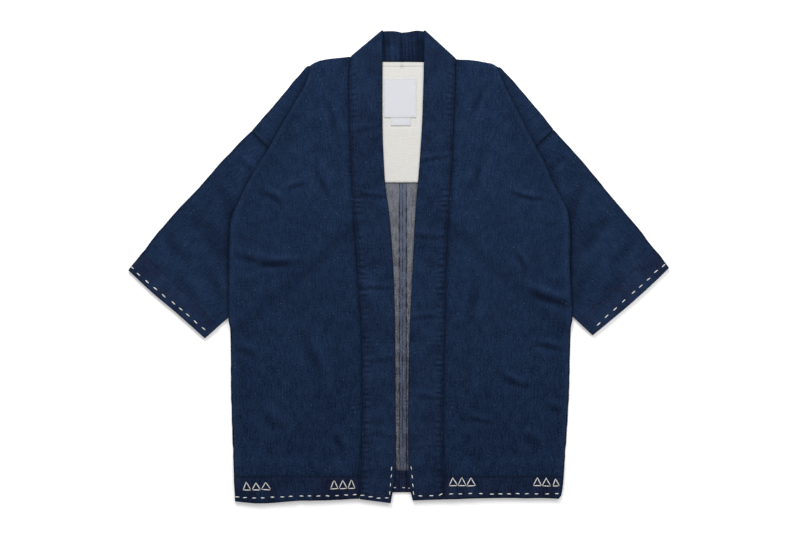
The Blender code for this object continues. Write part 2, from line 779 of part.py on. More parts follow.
def main():
    """Build every piece of the coat."""
    clear_scene()
    denim = cloth_material("indigo_denim", (0.0100, 0.0205, 0.0520), 0.9)
    denim_sleeve = cloth_material("indigo_denim_sleeve", (0.0116, 0.0232, 0.0580), 0.9)
    denim_band = cloth_material("indigo_denim_band", (0.0110, 0.0240, 0.0560), 0.88)
    denim_wrong = cloth_material("denim_wrong_side", (0.0650, 0.0780, 0.1090), 0.92)
    canvas = cloth_material("lining_canvas", (0.730, 0.730, 0.720), 0.85)
    label = cloth_material("label_twill", (0.720, 0.730, 0.760), 0.7)

    left = Side(
        -1, FRONT_LEFT, SHOULDER_LEFT, -150.0, SLEEVE_LEFT, BAND_LEFT, NECK_LEFT, CORNER_LEFT, HEM_LEFT
    )
    right = Side(
        1, FRONT_RIGHT, SHOULDER_RIGHT, 168.0, SLEEVE_RIGHT, BAND_RIGHT, NECK_RIGHT, CORNER_RIGHT, HEM_RIGHT
    )
    for suffix, side in (("left", left), ("right", right)):
        make_back("back_" + suffix, side, denim_wrong)
        make_front("front_" + suffix, side, denim)
        make_sleeve("sleeve_" + suffix, side, denim_sleeve)
        make_collar("collar_" + suffix, side, denim_band)

    lining_box = (LINING_LEFT_X, LINING_LOW_Y, LINING_RIGHT_X, LINING_TOP_Y)
    make_patch("lining_yoke", lining_box, LINING_MID, CANVAS, 6, 6, canvas)
    make_patch("label_main", LABEL_MAIN_BOX, LABEL_MID, CANVAS, 3, 3, label)
    make_patch("label_small", LABEL_SMALL_BOX, LABEL_MID, CANVAS, 2, 1, label)


if __name__ == "__main__":
    main()
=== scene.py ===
"""Looks of an indigo denim kimono coat that lies flat with its fronts open.

Every panel is made again as a fine shell of cloth on its solid's form, with its creases, seam puckers and
hems in the mesh, a twill weave in the material, and each visible stitch as a short piece of thread.
Tables are in millimetres in the frame of the solids: +X right, +Y towards the neck, +Z up.
"""

import math
from functools import partial

import bpy
import numpy as np
from bpy.props import FloatProperty, PointerProperty, StringProperty
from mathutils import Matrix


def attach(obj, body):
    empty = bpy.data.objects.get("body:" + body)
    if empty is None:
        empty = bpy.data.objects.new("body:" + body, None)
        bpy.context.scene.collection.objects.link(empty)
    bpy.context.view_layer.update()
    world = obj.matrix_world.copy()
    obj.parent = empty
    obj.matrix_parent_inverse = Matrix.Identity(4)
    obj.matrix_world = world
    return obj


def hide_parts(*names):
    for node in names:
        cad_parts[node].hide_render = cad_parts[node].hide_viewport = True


bl_info = {
    "name": "Flat Kimono Coat",
    "version": (1, 0, 0),
    "blender": (4, 5, 0),
    "location": "3D View > Sidebar > Coat",
    "description": "Dresses the flat kimono coat with cloth, seams and stitches",
    "category": "Object",
}

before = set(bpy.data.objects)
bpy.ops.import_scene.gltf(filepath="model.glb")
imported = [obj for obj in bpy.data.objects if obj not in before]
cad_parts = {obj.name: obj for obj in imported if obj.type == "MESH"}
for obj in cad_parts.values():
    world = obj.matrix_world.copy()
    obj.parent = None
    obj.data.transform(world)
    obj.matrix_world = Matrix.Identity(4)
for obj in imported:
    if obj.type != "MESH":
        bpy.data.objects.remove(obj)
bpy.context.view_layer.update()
MM = 0.001

# Cloth and layers, as in the solids
DENIM = 1.1
CANVAS = 1.0
BAND = 3.0
HEM_EXTRA = 1.3
SEAM_EXTRA = 0.9
SEAM_GAP = 0.3
REST_GAP = 0.4
LAYER_STEP = 1.9
BACK_MID = DENIM / 2
FRONT_MID = BACK_MID + LAYER_STEP
LINING_MID = DENIM + SEAM_GAP + CANVAS / 2
LABEL_LOW = LINING_MID + CANVAS / 2 + SEAM_GAP
LABEL_THICK = 0.8
CENTRE_X = 8.5
CENTRE_SEAM_HALF = 6.3
NECK_SEAM_Y = 368.0
LINING_BOX = (-78.0, 151.0, 92.0, 367.7)
LABEL_MAIN_BOX = (-25.0, 268.0, 32.0, 337.5)
LABEL_SMALL_BOX = (-13.0, 253.6, 22.0, 267.7)
BACK_HEM_Y = -406.0
BACK_HEM_LINE_Y = -364.0
FRONT_HEM_LINE_Y = -377.5
CUFF_HEM = 40.0
FELL_WIDTH = 10.5
PANEL_GAP = 0.12
BUTT_GAP = 0.04

# Easing of raised layers
HEM_SHARE_Y = -342.0
HEM_SHARE_EASE = 18.0
FRONT_HEM_THICK_Y = -372.0
FRONT_HEM_THICK_EASE = 6.0
BAND_HEM_CLEAR = 0.1
BAND_TURN_Y = 340.0
BAND_TURN_EASE = 34.0
LINING_REACH = 30.0
LINING_EASE = 22.0
CUFF_PUFF_REACH = 46.0
CUFF_PUFF_EASE = 12.0
CUFF_PULL = 60.0
SHOULDER_SHIFT = 26.0
HEM_SHIFT = 34.0
BACK_TOP_TUCK = 2.4
BACK_HEM_TUCK = 4.0
STACK_EASE = 42.0
STACK_OVER = 20.0
STACK_EASE_UP = 20.0
STACK_CLEAR_UP = 4.0
STACK_EASE_DOWN = 30.0
STACK_REACH_DOWN = 1.75
ROOT_EASE = 32.0
ROOT_OVER = 24.0
ROOT_CLEAR = 8.0
WING_END = 20.0
ARMPIT_MARGIN = 22.0
EDGE_TUCK = 1.6
EDGE_DROP_MID = 0.9
ROLL_RADIUS = 2.6
FOLD_PUFF = 4.6
DEEPEST_CREASE = -0.55

# How finely the shells are divided
FRONT_ROWS = 304
BACK_ROWS = 280
SLEEVE_SECTIONS = 124
BAND_SECTIONS = 340
NECK_SECTIONS = 56
TOP_COLUMNS = 84
FOLD_STEPS = 8
RETURN_COLUMNS = 12
WING_COLUMNS = 34
ROLL_STEPS = 7
SLEEVE_FLOOR = 30
SLEEVE_ROOF = 64
SLEEVE_TURN = 10

# Camera and stage
VIEW_WIDTH = 1440.0
VIEW_HEIGHT = 3000.0
VIEW_CENTRE = (3.1, -0.9)
SENSOR = 36.0


def table(names, *rows):
    """A small table: one array for each named column, one row for each section."""
    return {name: np.array(values, float) for name, values in zip(names.split(), zip(*rows))}


FRONT_LEFT = table(
    "y seam edge",
    (371.0, -85.6, -142.0), (366.5, -86.6, -152.5), (362.5, -87.3, -157.5), (357.0, -87.8, -158.0),
    (347.0, -88.4, -160.5), (325.0, -88.8, -169.3), (292.5, -88.3, -187.7), (262.0, -87.0, -205.3),
    (243.5, -86.5, -215.8), (213.0, -85.5, -232.7), (179.0, -84.3, -254.3), (141.0, -82.3, -275.9),
    (114.0, -80.8, -288.5),
    (90.0, -79.2, -299.3), (53.0, -76.8, -303.3), (20.0, -74.6, -304.2), (-12.0, -72.8, -304.7),
    (-58.0, -70.0, -305.1), (-80.0, -68.4, -305.5), (-97.0, -67.2, -305.0), (-113.0, -66.7, -302.4),
    (-170.0, -65.3, -301.5), (-222.0, -64.2, -301.0), (-276.0, -65.0, -299.5), (-330.0, -66.2, -297.5),
    (-378.0, -67.2, -295.8), (-420.0, -69.0, -293.5),
)
SHOULDER_LEFT = table(
    "y edge",
    (364.5, -157.0), (360.9, -162.5), (357.3, -167.5), (350.0, -173.5), (342.9, -179.5), (335.7, -186.0),
    (317.7, -200.5), (299.7, -215.5), (281.7, -231.0), (263.7, -247.0), (243.5, -264.0),
)
SLEEVE_LEFT = table(
    "top_x top_y low_x low_y",
    (-264.0, 243.5, -105.0, 83.5), (-281.5, 227.5, -121.5, 69.1), (-299.0, 208.5, -143.7, 49.6),
    (-323.5, 182.5, -170.3, 26.3), (-347.0, 155.0, -198.2, 1.9), (-372.5, 127.5, -226.0, -22.5),
    (-397.5, 101.5, -253.8, -46.9), (-423.5, 71.5, -284.1, -73.4), (-444.0, 47.0, -307.1, -93.5),
    (-456.0, 30.0, -319.2, -104.1), (-470.0, 13.0, -332.5, -115.8), (-484.5, -5.0, -347.0, -128.5),
)
BAND_LEFT = table(
    "seam_x seam_y free_x free_y",
    (-69.0, -418.2, -13.6, -425.4), (-68.2, -400.0, -9.5, -402.0), (-67.3, -378.0, -6.0, -378.0),
    (-66.8, -355.0, -4.0, -355.0), (-65.0, -290.0, -4.5, -290.0), (-64.0, -228.0, -5.0, -228.0),
    (-65.4, -160.0, -5.5, -160.0), (-67.3, -98.0, -6.0, -98.0), (-71.0, -42.0, -7.5, -42.0),
    (-73.5, 5.0, -9.5, 5.0), (-77.0, 58.0, -13.0, 58.0), (-79.8, 100.0, -17.0, 100.0),
    (-82.9, 154.0, -24.0, 154.0), (-84.8, 200.0, -26.5, 200.0), (-86.2, 238.0, -28.0, 238.0),
    (-87.5, 280.0, -28.4, 284.0), (-88.0, 318.0, -28.4, 334.0), (-88.2, 345.0, -28.4, 375.0),
    (-87.0, 360.0, -28.4, 398.0),
)
NECK_LEFT = table(
    "seam_x seam_y free_x free_y",
    (-70.0, 368.6, -22.0, 423.4), (-52.0, 368.4, -15.0, 423.6), (-32.0, 368.2, -9.0, 423.6),
    (-12.0, 367.9, -2.0, 422.6), (5.86, 367.8, 5.86, 420.8),
)
HEM_LEFT = table(
    "x y",
    (-294.0, -422.5), (-250.0, -425.9), (-180.0, -421.8), (-116.0, -419.2), (-69.0, -417.8),
)
SHOULDER_TOP_LEFT = table(
    "x y",
    (-142.0, 369.6), (-128.0, 372.6), (-112.0, 374.6), (-97.0, 376.2), (-88.0, 377.2), (-83.0, 377.0),
)
FRONT_RIGHT = table(
    "y seam edge",
    (368.5, 102.6, 158.0), (364.5, 102.6, 172.0), (360.5, 102.7, 178.0), (356.0, 102.7, 179.5),
    (346.0, 102.7, 183.0), (325.0, 102.0, 191.5), (292.5, 101.0, 208.0), (262.0, 99.5, 223.3),
    (245.5, 99.0, 231.4), (215.0, 97.9, 247.5), (184.5, 96.6, 263.7), (150.0, 94.6, 278.4), (118.0, 92.6, 296.4),
    (95.0, 91.0, 305.8), (53.0, 88.4, 309.4), (20.0, 86.8, 308.8), (-12.0, 85.2, 308.9),
    (-56.0, 84.2, 312.0), (-77.0, 83.9, 312.9), (-94.0, 83.6, 312.8), (-110.0, 83.3, 310.6),
    (-170.0, 81.8, 308.8), (-222.0, 80.3, 307.4), (-276.0, 80.2, 304.6), (-330.0, 80.2, 300.8),
    (-378.0, 80.9, 297.4), (-410.0, 82.0, 293.4), (-417.0, 82.3, 288.4),
)
SHOULDER_RIGHT = table(
    "y edge",
    (363.0, 173.6), (360.9, 177.6), (357.3, 184.6), (350.1, 191.6), (342.9, 198.6), (335.7, 205.1),
    (317.7, 220.6), (299.7, 235.6), (281.7, 251.3), (263.7, 266.1), (245.5, 280.1),
)
SLEEVE_RIGHT = table(
    "top_x top_y low_x low_y",
    (279.7, 246.1, 115.5, 91.5), (295.7, 228.6, 131.3, 77.0), (312.7, 210.1, 152.7, 57.3),
    (336.2, 183.1, 178.3, 33.9), (361.2, 153.1, 205.0, 9.3), (386.2, 122.6, 231.8, -15.3),
    (409.2, 95.6, 258.5, -39.8), (433.2, 67.6, 287.6, -66.5), (450.2, 44.6, 309.6, -86.8),
    (461.2, 31.1, 321.3, -97.4), (473.7, 15.6, 334.0, -109.2), (485.7, -0.9, 348.0, -122.0),
)
BAND_RIGHT = table(
    "seam_x seam_y free_x free_y",
    (82.3, -418.6, 26.0, -420.5), (81.6, -398.0, 21.0, -399.0), (80.9, -378.0, 19.0, -378.0),
    (80.4, -355.0, 18.0, -355.0), (80.2, -290.0, 17.5, -290.0), (80.3, -228.0, 18.0, -228.0),
    (81.9, -163.0, 19.0, -163.0), (83.5, -98.0, 21.0, -98.0), (84.4, -33.0, 24.0, -33.0),
    (86.2, 20.0, 26.8, 20.0), (89.3, 75.0, 29.4, 75.0), (91.8, 118.0, 32.2, 118.0),
    (94.6, 160.0, 36.0, 160.0), (97.2, 208.0, 39.6, 208.0), (99.3, 264.0, 43.0, 264.0),
    (100.6, 290.0, 44.0, 293.0), (101.8, 320.0, 45.2, 336.0), (102.2, 343.0, 46.0, 374.0),
    (102.0, 357.0, 46.6, 397.0),
)
NECK_RIGHT = table(
    "seam_x seam_y free_x free_y",
    (88.0, 367.0, 40.0, 423.9), (68.0, 367.1, 33.0, 424.4), (48.0, 367.3, 26.0, 423.4),
    (26.0, 367.6, 16.0, 421.6), (5.88, 367.8, 5.88, 420.8),
)
HEM_RIGHT = table(
    "x y",
    (82.0, -418.6), (129.0, -417.0), (200.0, -416.4), (250.0, -416.4), (287.0, -417.8),
)
SHOULDER_TOP_RIGHT = table(
    "x y",
    (100.5, 373.4), (112.0, 372.0), (122.0, 371.8), (140.0, 369.8), (158.0, 366.4),
)

# Gathers across the neck part of the collar: place along x, width and depth
NECK_GATHERS_LEFT = table(
    "at wide deep",
    (-25.0, 3.0, 0.9), (-17.0, 2.4, 0.55), (-6.0, 2.6, 0.3), (2.0, 1.6, 0.35), (5.2, 0.9, 0.8),
)
NECK_GATHERS_RIGHT = table(
    "at wide deep",
    (6.4, 0.9, 0.8), (12.0, 1.8, 0.5), (19.0, 1.6, 0.65), (25.0, 1.8, 0.75), (31.0, 1.5, 0.6),
    (36.0, 2.2, 0.9), (43.0, 2.6, 0.9),
)
CUFF_BOW_LEFT = table("share out", (0.0, 0.8), (0.35, 1.1), (0.7, 3.0), (1.0, 1.8))
CUFF_BOW_RIGHT = table("share out", (0.0, 2.2), (0.2, 3.4), (0.5, 4.6), (0.75, 4.0), (1.0, 2.0))

# Soft creases: the two ends, the bow of the line, the width and the depth
CREASES = table(
    "x0 y0 x1 y1 bow width depth",
    (-202.0, 136.0, -168.0, 146.0, 3.0, 4.5, 0.9), (-248.0, 132.0, -205.0, 106.0, 6.0, 6.0, 1.0),
    (-298.0, 22.0, -176.0, 2.0, -5.0, 6.8, 1.0), (-270.0, -6.0, -168.0, 9.0, 4.0, 5.2, 0.7),
    (-150.0, 190.0, -120.0, 120.0, -4.0, 7.5, 0.6),
    (-290.0, -150.0, -255.0, -163.0, 3.0, 6.8, 0.7), (-180.0, -120.0, -140.0, -210.0, 6.0, 10.5, 0.6),
    (-130.0, 300.0, -112.0, 232.0, 3.0, 6.8, 0.6), (-250.0, -250.0, -205.0, -300.0, -5.0, 9.0, 0.6),
    (-120.0, -300.0, -95.0, -345.0, 3.0, 6.8, 0.5),
    (202.0, 133.0, 262.0, 120.0, -3.0, 4.5, 1.1), (207.0, 28.0, 230.0, -8.0, 2.0, 5.2, 0.9),
    (230.0, -40.0, 311.0, -68.0, -4.0, 7.5, 1.4), (246.0, -140.0, 296.0, -151.0, 2.0, 5.2, 1.0),
    (181.0, -193.0, 238.0, -217.0, -4.0, 6.0, 1.0), (123.0, -274.0, 166.0, -283.0, 2.0, 4.5, 0.8),
    (150.0, 210.0, 128.0, 130.0, 4.0, 8.2, 0.6),
    (140.0, -20.0, 122.0, -110.0, 4.0, 9.0, 0.6), (262.0, -250.0, 296.0, -262.0, 2.0, 6.0, 0.7),
    (160.0, 330.0, 132.0, 262.0, -4.0, 6.8, 0.6), (216.0, -300.0, 262.0, -330.0, 4.0, 8.2, 0.6),
)
BAND_CREASES = table(
    "x0 y0 x1 y1 bow width depth",
    (-90.0, 130.0, -14.0, 123.0, 2.0, 4.0, 1.0), (-84.0, -33.0, -4.0, -38.0, -2.0, 4.0, 0.9),
    (-90.0, 238.0, -26.0, 252.0, 2.0, 5.0, 0.6), (-72.0, -176.0, -4.0, -166.0, 2.0, 5.0, 0.6),
    (-70.0, -300.0, -2.0, -306.0, 2.0, 5.0, 0.5), (28.0, 186.0, 100.0, 198.0, 2.0, 4.0, 0.8),
    (20.0, 60.0, 92.0, 50.0, -2.0, 5.0, 0.7), (16.0, -96.0, 88.0, -88.0, 2.0, 4.0, 0.8),
    (14.0, -230.0, 84.0, -242.0, 2.0, 5.0, 0.6), (14.0, -330.0, 84.0, -322.0, 2.0, 4.0, 0.5),
)
SLEEVE_CREASES = table(
    "x0 y0 x1 y1 bow width depth",
    (-330.0, 150.0, -300.0, 92.0, 5.0, 9.0, 1.1), (-372.0, 96.0, -318.0, 20.0, 7.0, 12.0, 0.9),
    (-415.0, 62.0, -372.0, 12.0, -6.0, 10.0, 0.8), (-350.0, 0.0, -318.0, -70.0, 5.0, 9.0, 0.9),
    (-290.0, 190.0, -262.0, 168.0, 3.0, 6.0, 0.9), (-398.0, -20.0, -362.0, -82.0, 5.0, 10.0, 0.7),
    (335.0, 150.0, 312.0, 86.0, -5.0, 9.0, 1.1), (380.0, 92.0, 330.0, 22.0, -6.0, 12.0, 0.9),
    (420.0, 56.0, 384.0, 4.0, 5.0, 10.0, 0.8), (352.0, 2.0, 322.0, -64.0, -5.0, 9.0, 0.9),
    (300.0, 196.0, 270.0, 170.0, -3.0, 6.0, 0.9), (404.0, -24.0, 366.0, -78.0, -5.0, 10.0, 0.7),
)


def ease(t):
    """Smooth step from 0 to 1."""
    t = np.clip(t, 0.0, 1.0)
    return t * t * (3.0 - 2.0 * t)


def blend(a, b, t):
    """Straight blend between two values."""
    return a + (b - a) * t


def curve(at, keys, values):
    """Smooth curve through a table's rows that never overshoots them, level past its ends."""
    order = np.argsort(keys)
    x, y = keys[order], values[order]
    step = np.diff(x)
    slope = np.diff(y) / step
    product = slope[1:] * slope[:-1]
    total = slope[1:] + slope[:-1]
    inner = np.where(product > 0, 2.0 * product / np.where(total == 0, 1.0, total), 0.0)
    tangent = np.concatenate([slope[:1], inner, slope[-1:]])
    at = np.clip(at, x[0], x[-1])
    i = np.clip(np.searchsorted(x, at, side="right") - 1, 0, len(step) - 1)
    t = (at - x[i]) / step[i]
    rise = step[i] * (tangent[i] * t * (1 - t) ** 2 - tangent[i + 1] * t ** 2 * (1 - t))
    return blend(y[i], y[i + 1], t * t * (3 - 2 * t)) + rise


def hills(x, y, spacing, seed):
    """Soft random hills, about -1 to 1, with a given spacing in millimetres."""
    lattice = np.random.RandomState(seed).uniform(-1.0, 1.0, (61, 61))
    u, v = np.asarray(x) / spacing + 300.37, np.asarray(y) / spacing + 300.71
    i, j = (np.floor(np.nan_to_num(place)).astype(int) for place in (u, v))
    f, g = ease(u - i), ease(v - j)
    low = blend(lattice[i % 61, j % 61], lattice[(i + 1) % 61, j % 61], f)
    high = blend(lattice[i % 61, (j + 1) % 61], lattice[(i + 1) % 61, (j + 1) % 61], f)
    return blend(low, high, g)


def soft_floor(value, low):
    """Keeps a value above a floor, with a soft turn."""
    return low + np.logaddexp(0.0, 4.0 * (value - low)) / 4.0


def crease_relief(x, y, creases):
    """Height that the given creases add: a soft trough with an uneven ridge on each side."""
    relief = np.zeros(np.broadcast(x, y).shape)
    for x0, y0, x1, y1, bow, width, depth in zip(*creases.values()):
        length = math.hypot(x1 - x0, y1 - y0)
        ax, ay = (x1 - x0) / length, (y1 - y0) / length
        share = ((x - x0) * ax + (y - y0) * ay) / length
        inside = np.clip(share, 0.0, 1.0)
        off = ((y - y0) * ax - (x - x0) * ay - bow * 4.0 * inside * (1.0 - inside)) / width
        fade = np.sin(math.pi * np.clip((share + 0.15) / 1.3, 0.0, 1.0)) ** 1.5
        shape = -np.exp(-off ** 2) + 0.55 * np.exp(-(off - 1.6) ** 2) + 0.3 * np.exp(-(off + 1.8) ** 2)
        relief += depth * fade * shape
    return relief


def puckers(along, away, reach, size, seed):
    """Small uneven gathers beside a line of stitches: height by the place along and away from it."""
    wander = along + 3.5 * hills(along, 0.0, 19.0, seed)
    valley = (0.5 + 0.5 * np.sin(2.0 * math.pi * wander / 10.5)) ** 3
    uneven = np.clip(0.55 + 0.75 * hills(along, 9.0, 16.0, seed + 1), 0.0, 1.3)
    return size * (0.35 - 1.6 * valley) * uneven * np.exp(-(away / reach) ** 2)


def line_distance(x, y, ax, ay, bx, by):
    """Signed distance from the line a-b, positive to the right of a to b."""
    length = math.hypot(bx - ax, by - ay)
    return ((x - ax) * (by - ay) - (y - ay) * (bx - ax)) / length


class Side:
    """One side of the coat: its tables, the lines of its pleat and the heights that its layers share."""

    def __init__(self, name, sign, tables, fold_top, corner):
        self.name, self.sign = name, sign
        self.front, self.shoulder, self.sleeve, self.band, self.neck, self.hem, self.shoulder_top = tables
        self.fold_top_x, self.fold_top_y = fold_top
        self.corner = corner
        self.root_top = (self.sleeve["top_x"][0], self.sleeve["top_y"][0])
        self.root_low = (self.sleeve["low_x"][0], self.sleeve["low_y"][0])
        self.cuff_low = (self.sleeve["low_x"][-1], self.sleeve["low_y"][-1])
        covered = abs(self.lower_edge_x(self.front["y"])) < abs(self.front["edge"])
        self.armpit_y = self.front["y"][covered].min()

    def lower_edge_x(self, y):
        """The line of the sleeve's lower edge."""
        share = (self.root_low[1] - y) / (self.root_low[1] - self.cuff_low[1])
        return blend(self.root_low[0], self.cuff_low[0], share)

    def inner_x(self, y):
        """Inner limit of the return layer: the inner fold, then the line of the side seam."""
        share = (y - self.root_low[1]) / (self.fold_top_y - self.root_low[1])
        fold = blend(self.root_low[0], self.fold_top_x, share)
        return np.where(np.asarray(y) <= self.root_low[1], self.lower_edge_x(y), fold)

    def wing_x(self, y):
        """Outer edge of the wing: the shoulder edge, then the armhole seam."""
        share = (y - self.root_low[1]) / (self.root_top[1] - self.root_low[1])
        seam = blend(self.root_low[0], self.root_top[0], share)
        shoulder = curve(y, self.shoulder["y"], self.shoulder["edge"])
        return np.where(np.asarray(y) >= self.root_top[1], shoulder, seam)

    def seam_x(self, y):
        """The seam between the front and the band."""
        corner_x, corner_y = self.corner[0][0] - self.sign * 1.2, self.corner[0][1] - 1.2
        return curve(y, np.append(self.band["seam_y"], corner_y), np.append(self.band["seam_x"], corner_x))

    def panel_seam_x(self, y):
        """The same seam as the front's own rows give it."""
        return curve(y, self.front["y"], self.front["seam"])

    def edge_x(self, y):
        """The front's outer edge: the outer fold, then the side seam."""
        return curve(y, self.front["y"], self.front["edge"])

    def has_return(self, y):
        """Whether the folded layer is there at a height."""
        return self.armpit_y <= y <= self.fold_top_y

    def has_wing(self, y):
        """Whether the wing is there at a height."""
        return self.root_low[1] + WING_END <= y <= self.fold_top_y

    def armhole_distance(self, x, y):
        """Distance from the armhole seam, positive on the sleeve's side."""
        return self.sign * line_distance(x, y, *self.root_low, *self.root_top)

    def root(self, x, y):
        """How far the sleeve's root lifts a layer: 1 over it, 0 away from it."""
        past_lower = self.sign * line_distance(x, y, *self.cuff_low, *self.root_low)
        outside = (x - self.edge_x(y)) * self.sign
        lift = ease((ROOT_EASE + ROOT_OVER + self.armhole_distance(x, y)) / ROOT_EASE)
        lift = lift * ease((ROOT_EASE + ROOT_OVER + past_lower) / ROOT_EASE)
        return lift * (1.0 - ease((outside - ROOT_CLEAR) / ROOT_EASE))

    def stack(self, x, y):
        """1 over the pleat, easing to 0 towards the band, the neck and the armpit."""
        inside = self.sign * (self.inner_x(y) - x) - STACK_OVER
        across = ease(1.0 - inside / STACK_EASE)
        up = 1.0 - ease((y - self.fold_top_y + STACK_CLEAR_UP) / STACK_EASE_UP)
        down = ease((y - self.armpit_y) / STACK_EASE_DOWN + STACK_REACH_DOWN)
        return across * up * down

    def wing_height(self, x, y):
        """Middle of the wing, before its own relief."""
        return FRONT_MID + LAYER_STEP * self.root(x, y)

    def lift(self, x, y):
        """Height that the pleat and the sleeve's root add to what lies over them."""
        return (2.0 + self.root(x, y)) * LAYER_STEP * self.stack(x, y)

    def front_relief(self, x, y, soft=1.0):
        """Creases, seam puckers and hem line of the front, with a share of its broad soft hills."""
        relief = 1.4 * crease_relief(x, y, CREASES)
        relief = relief + soft * (0.6 * hills(x, y, 74.0, 11) + 0.25 * hills(x, y, 21.0, 12))
        from_seam = np.abs(x - self.panel_seam_x(y))
        from_edge = np.abs(x - self.edge_x(y))
        calm = ease((from_edge - 1.0) / 14.0) * ease((375.0 - y) / 16.0)
        relief = relief * calm + puckers(y, from_seam - 3.0, 6.0, 0.4, 21)
        below_fold = y < self.armpit_y
        relief = relief + np.where(below_fold, puckers(y, from_edge - 9.0, 5.0, 0.2, 25), 0.0)
        line = y - FRONT_HEM_LINE_Y - 1.2 * hills(x, 1.0, 60.0, 26)
        relief = relief - 1.3 * np.exp(-(line / 1.5) ** 2) + puckers(x, line + 6.0, 9.0, 0.4, 23)
        return relief + 0.5 * hills(x, 3.0, 17.0, 24) * ease((-386.0 - y) / 20.0)

    def fold_puff(self, x, y):
        """The cloth stands fuller beside the outer fold of the pleat."""
        ends = ease((self.fold_top_y + 2.0 - y) / 46.0) * ease((y - self.armpit_y) / 34.0)
        inside = np.maximum(self.sign * (self.edge_x(y) - x), 0.0)
        return FOLD_PUFF * ends * np.exp(-(inside / 15.0) ** 2)

    def front_height(self, x, y):
        """Middle of the front's top layer."""
        over_hem = (2.0 * HEM_EXTRA + SEAM_GAP) * hem_share(y)
        base = FRONT_MID + over_hem + self.lift(x, y) + self.fold_puff(x, y)
        return base + soft_floor(self.front_relief(x, y), DEEPEST_CREASE)


def hem_share(y):
    """1 over the back's doubled hem, easing to 0 above it."""
    return ease((HEM_SHARE_Y - y) / HEM_SHARE_EASE)


def lining_rise(y):
    """Height that the lining adds to what lies on it."""
    return (CANVAS + SEAM_GAP) * ease((y - LINING_BOX[1] + LINING_REACH) / LINING_EASE)


def band_rest(side, x, y):
    """Height of the band's lower face where it lies on the front, the lining and the back."""
    over_hem = (HEM_EXTRA + BAND_HEM_CLEAR) * hem_share(y)
    return DENIM + REST_GAP + lining_rise(y) + side.lift(x, y) + over_hem


LEFT = Side(
    "left", -1,
    (FRONT_LEFT, SHOULDER_LEFT, SLEEVE_LEFT, BAND_LEFT, NECK_LEFT, HEM_LEFT, SHOULDER_TOP_LEFT),
    (-150.0, 362.5), ((-84.6, 377.4), (-28.2, 424.6)),
)
RIGHT = Side(
    "right", 1,
    (FRONT_RIGHT, SHOULDER_RIGHT, SLEEVE_RIGHT, BAND_RIGHT, NECK_RIGHT, HEM_RIGHT, SHOULDER_TOP_RIGHT),
    (168.0, 360.5), ((103.2, 373.2), (47.0, 424.6)),
)
SIDES = (LEFT, RIGHT)


def unit(vectors):
    """Vectors drawn to length 1; a zero vector stays as it is."""
    length = np.linalg.norm(vectors, axis=-1, keepdims=True)
    return vectors / np.where(length == 0, 1.0, length)


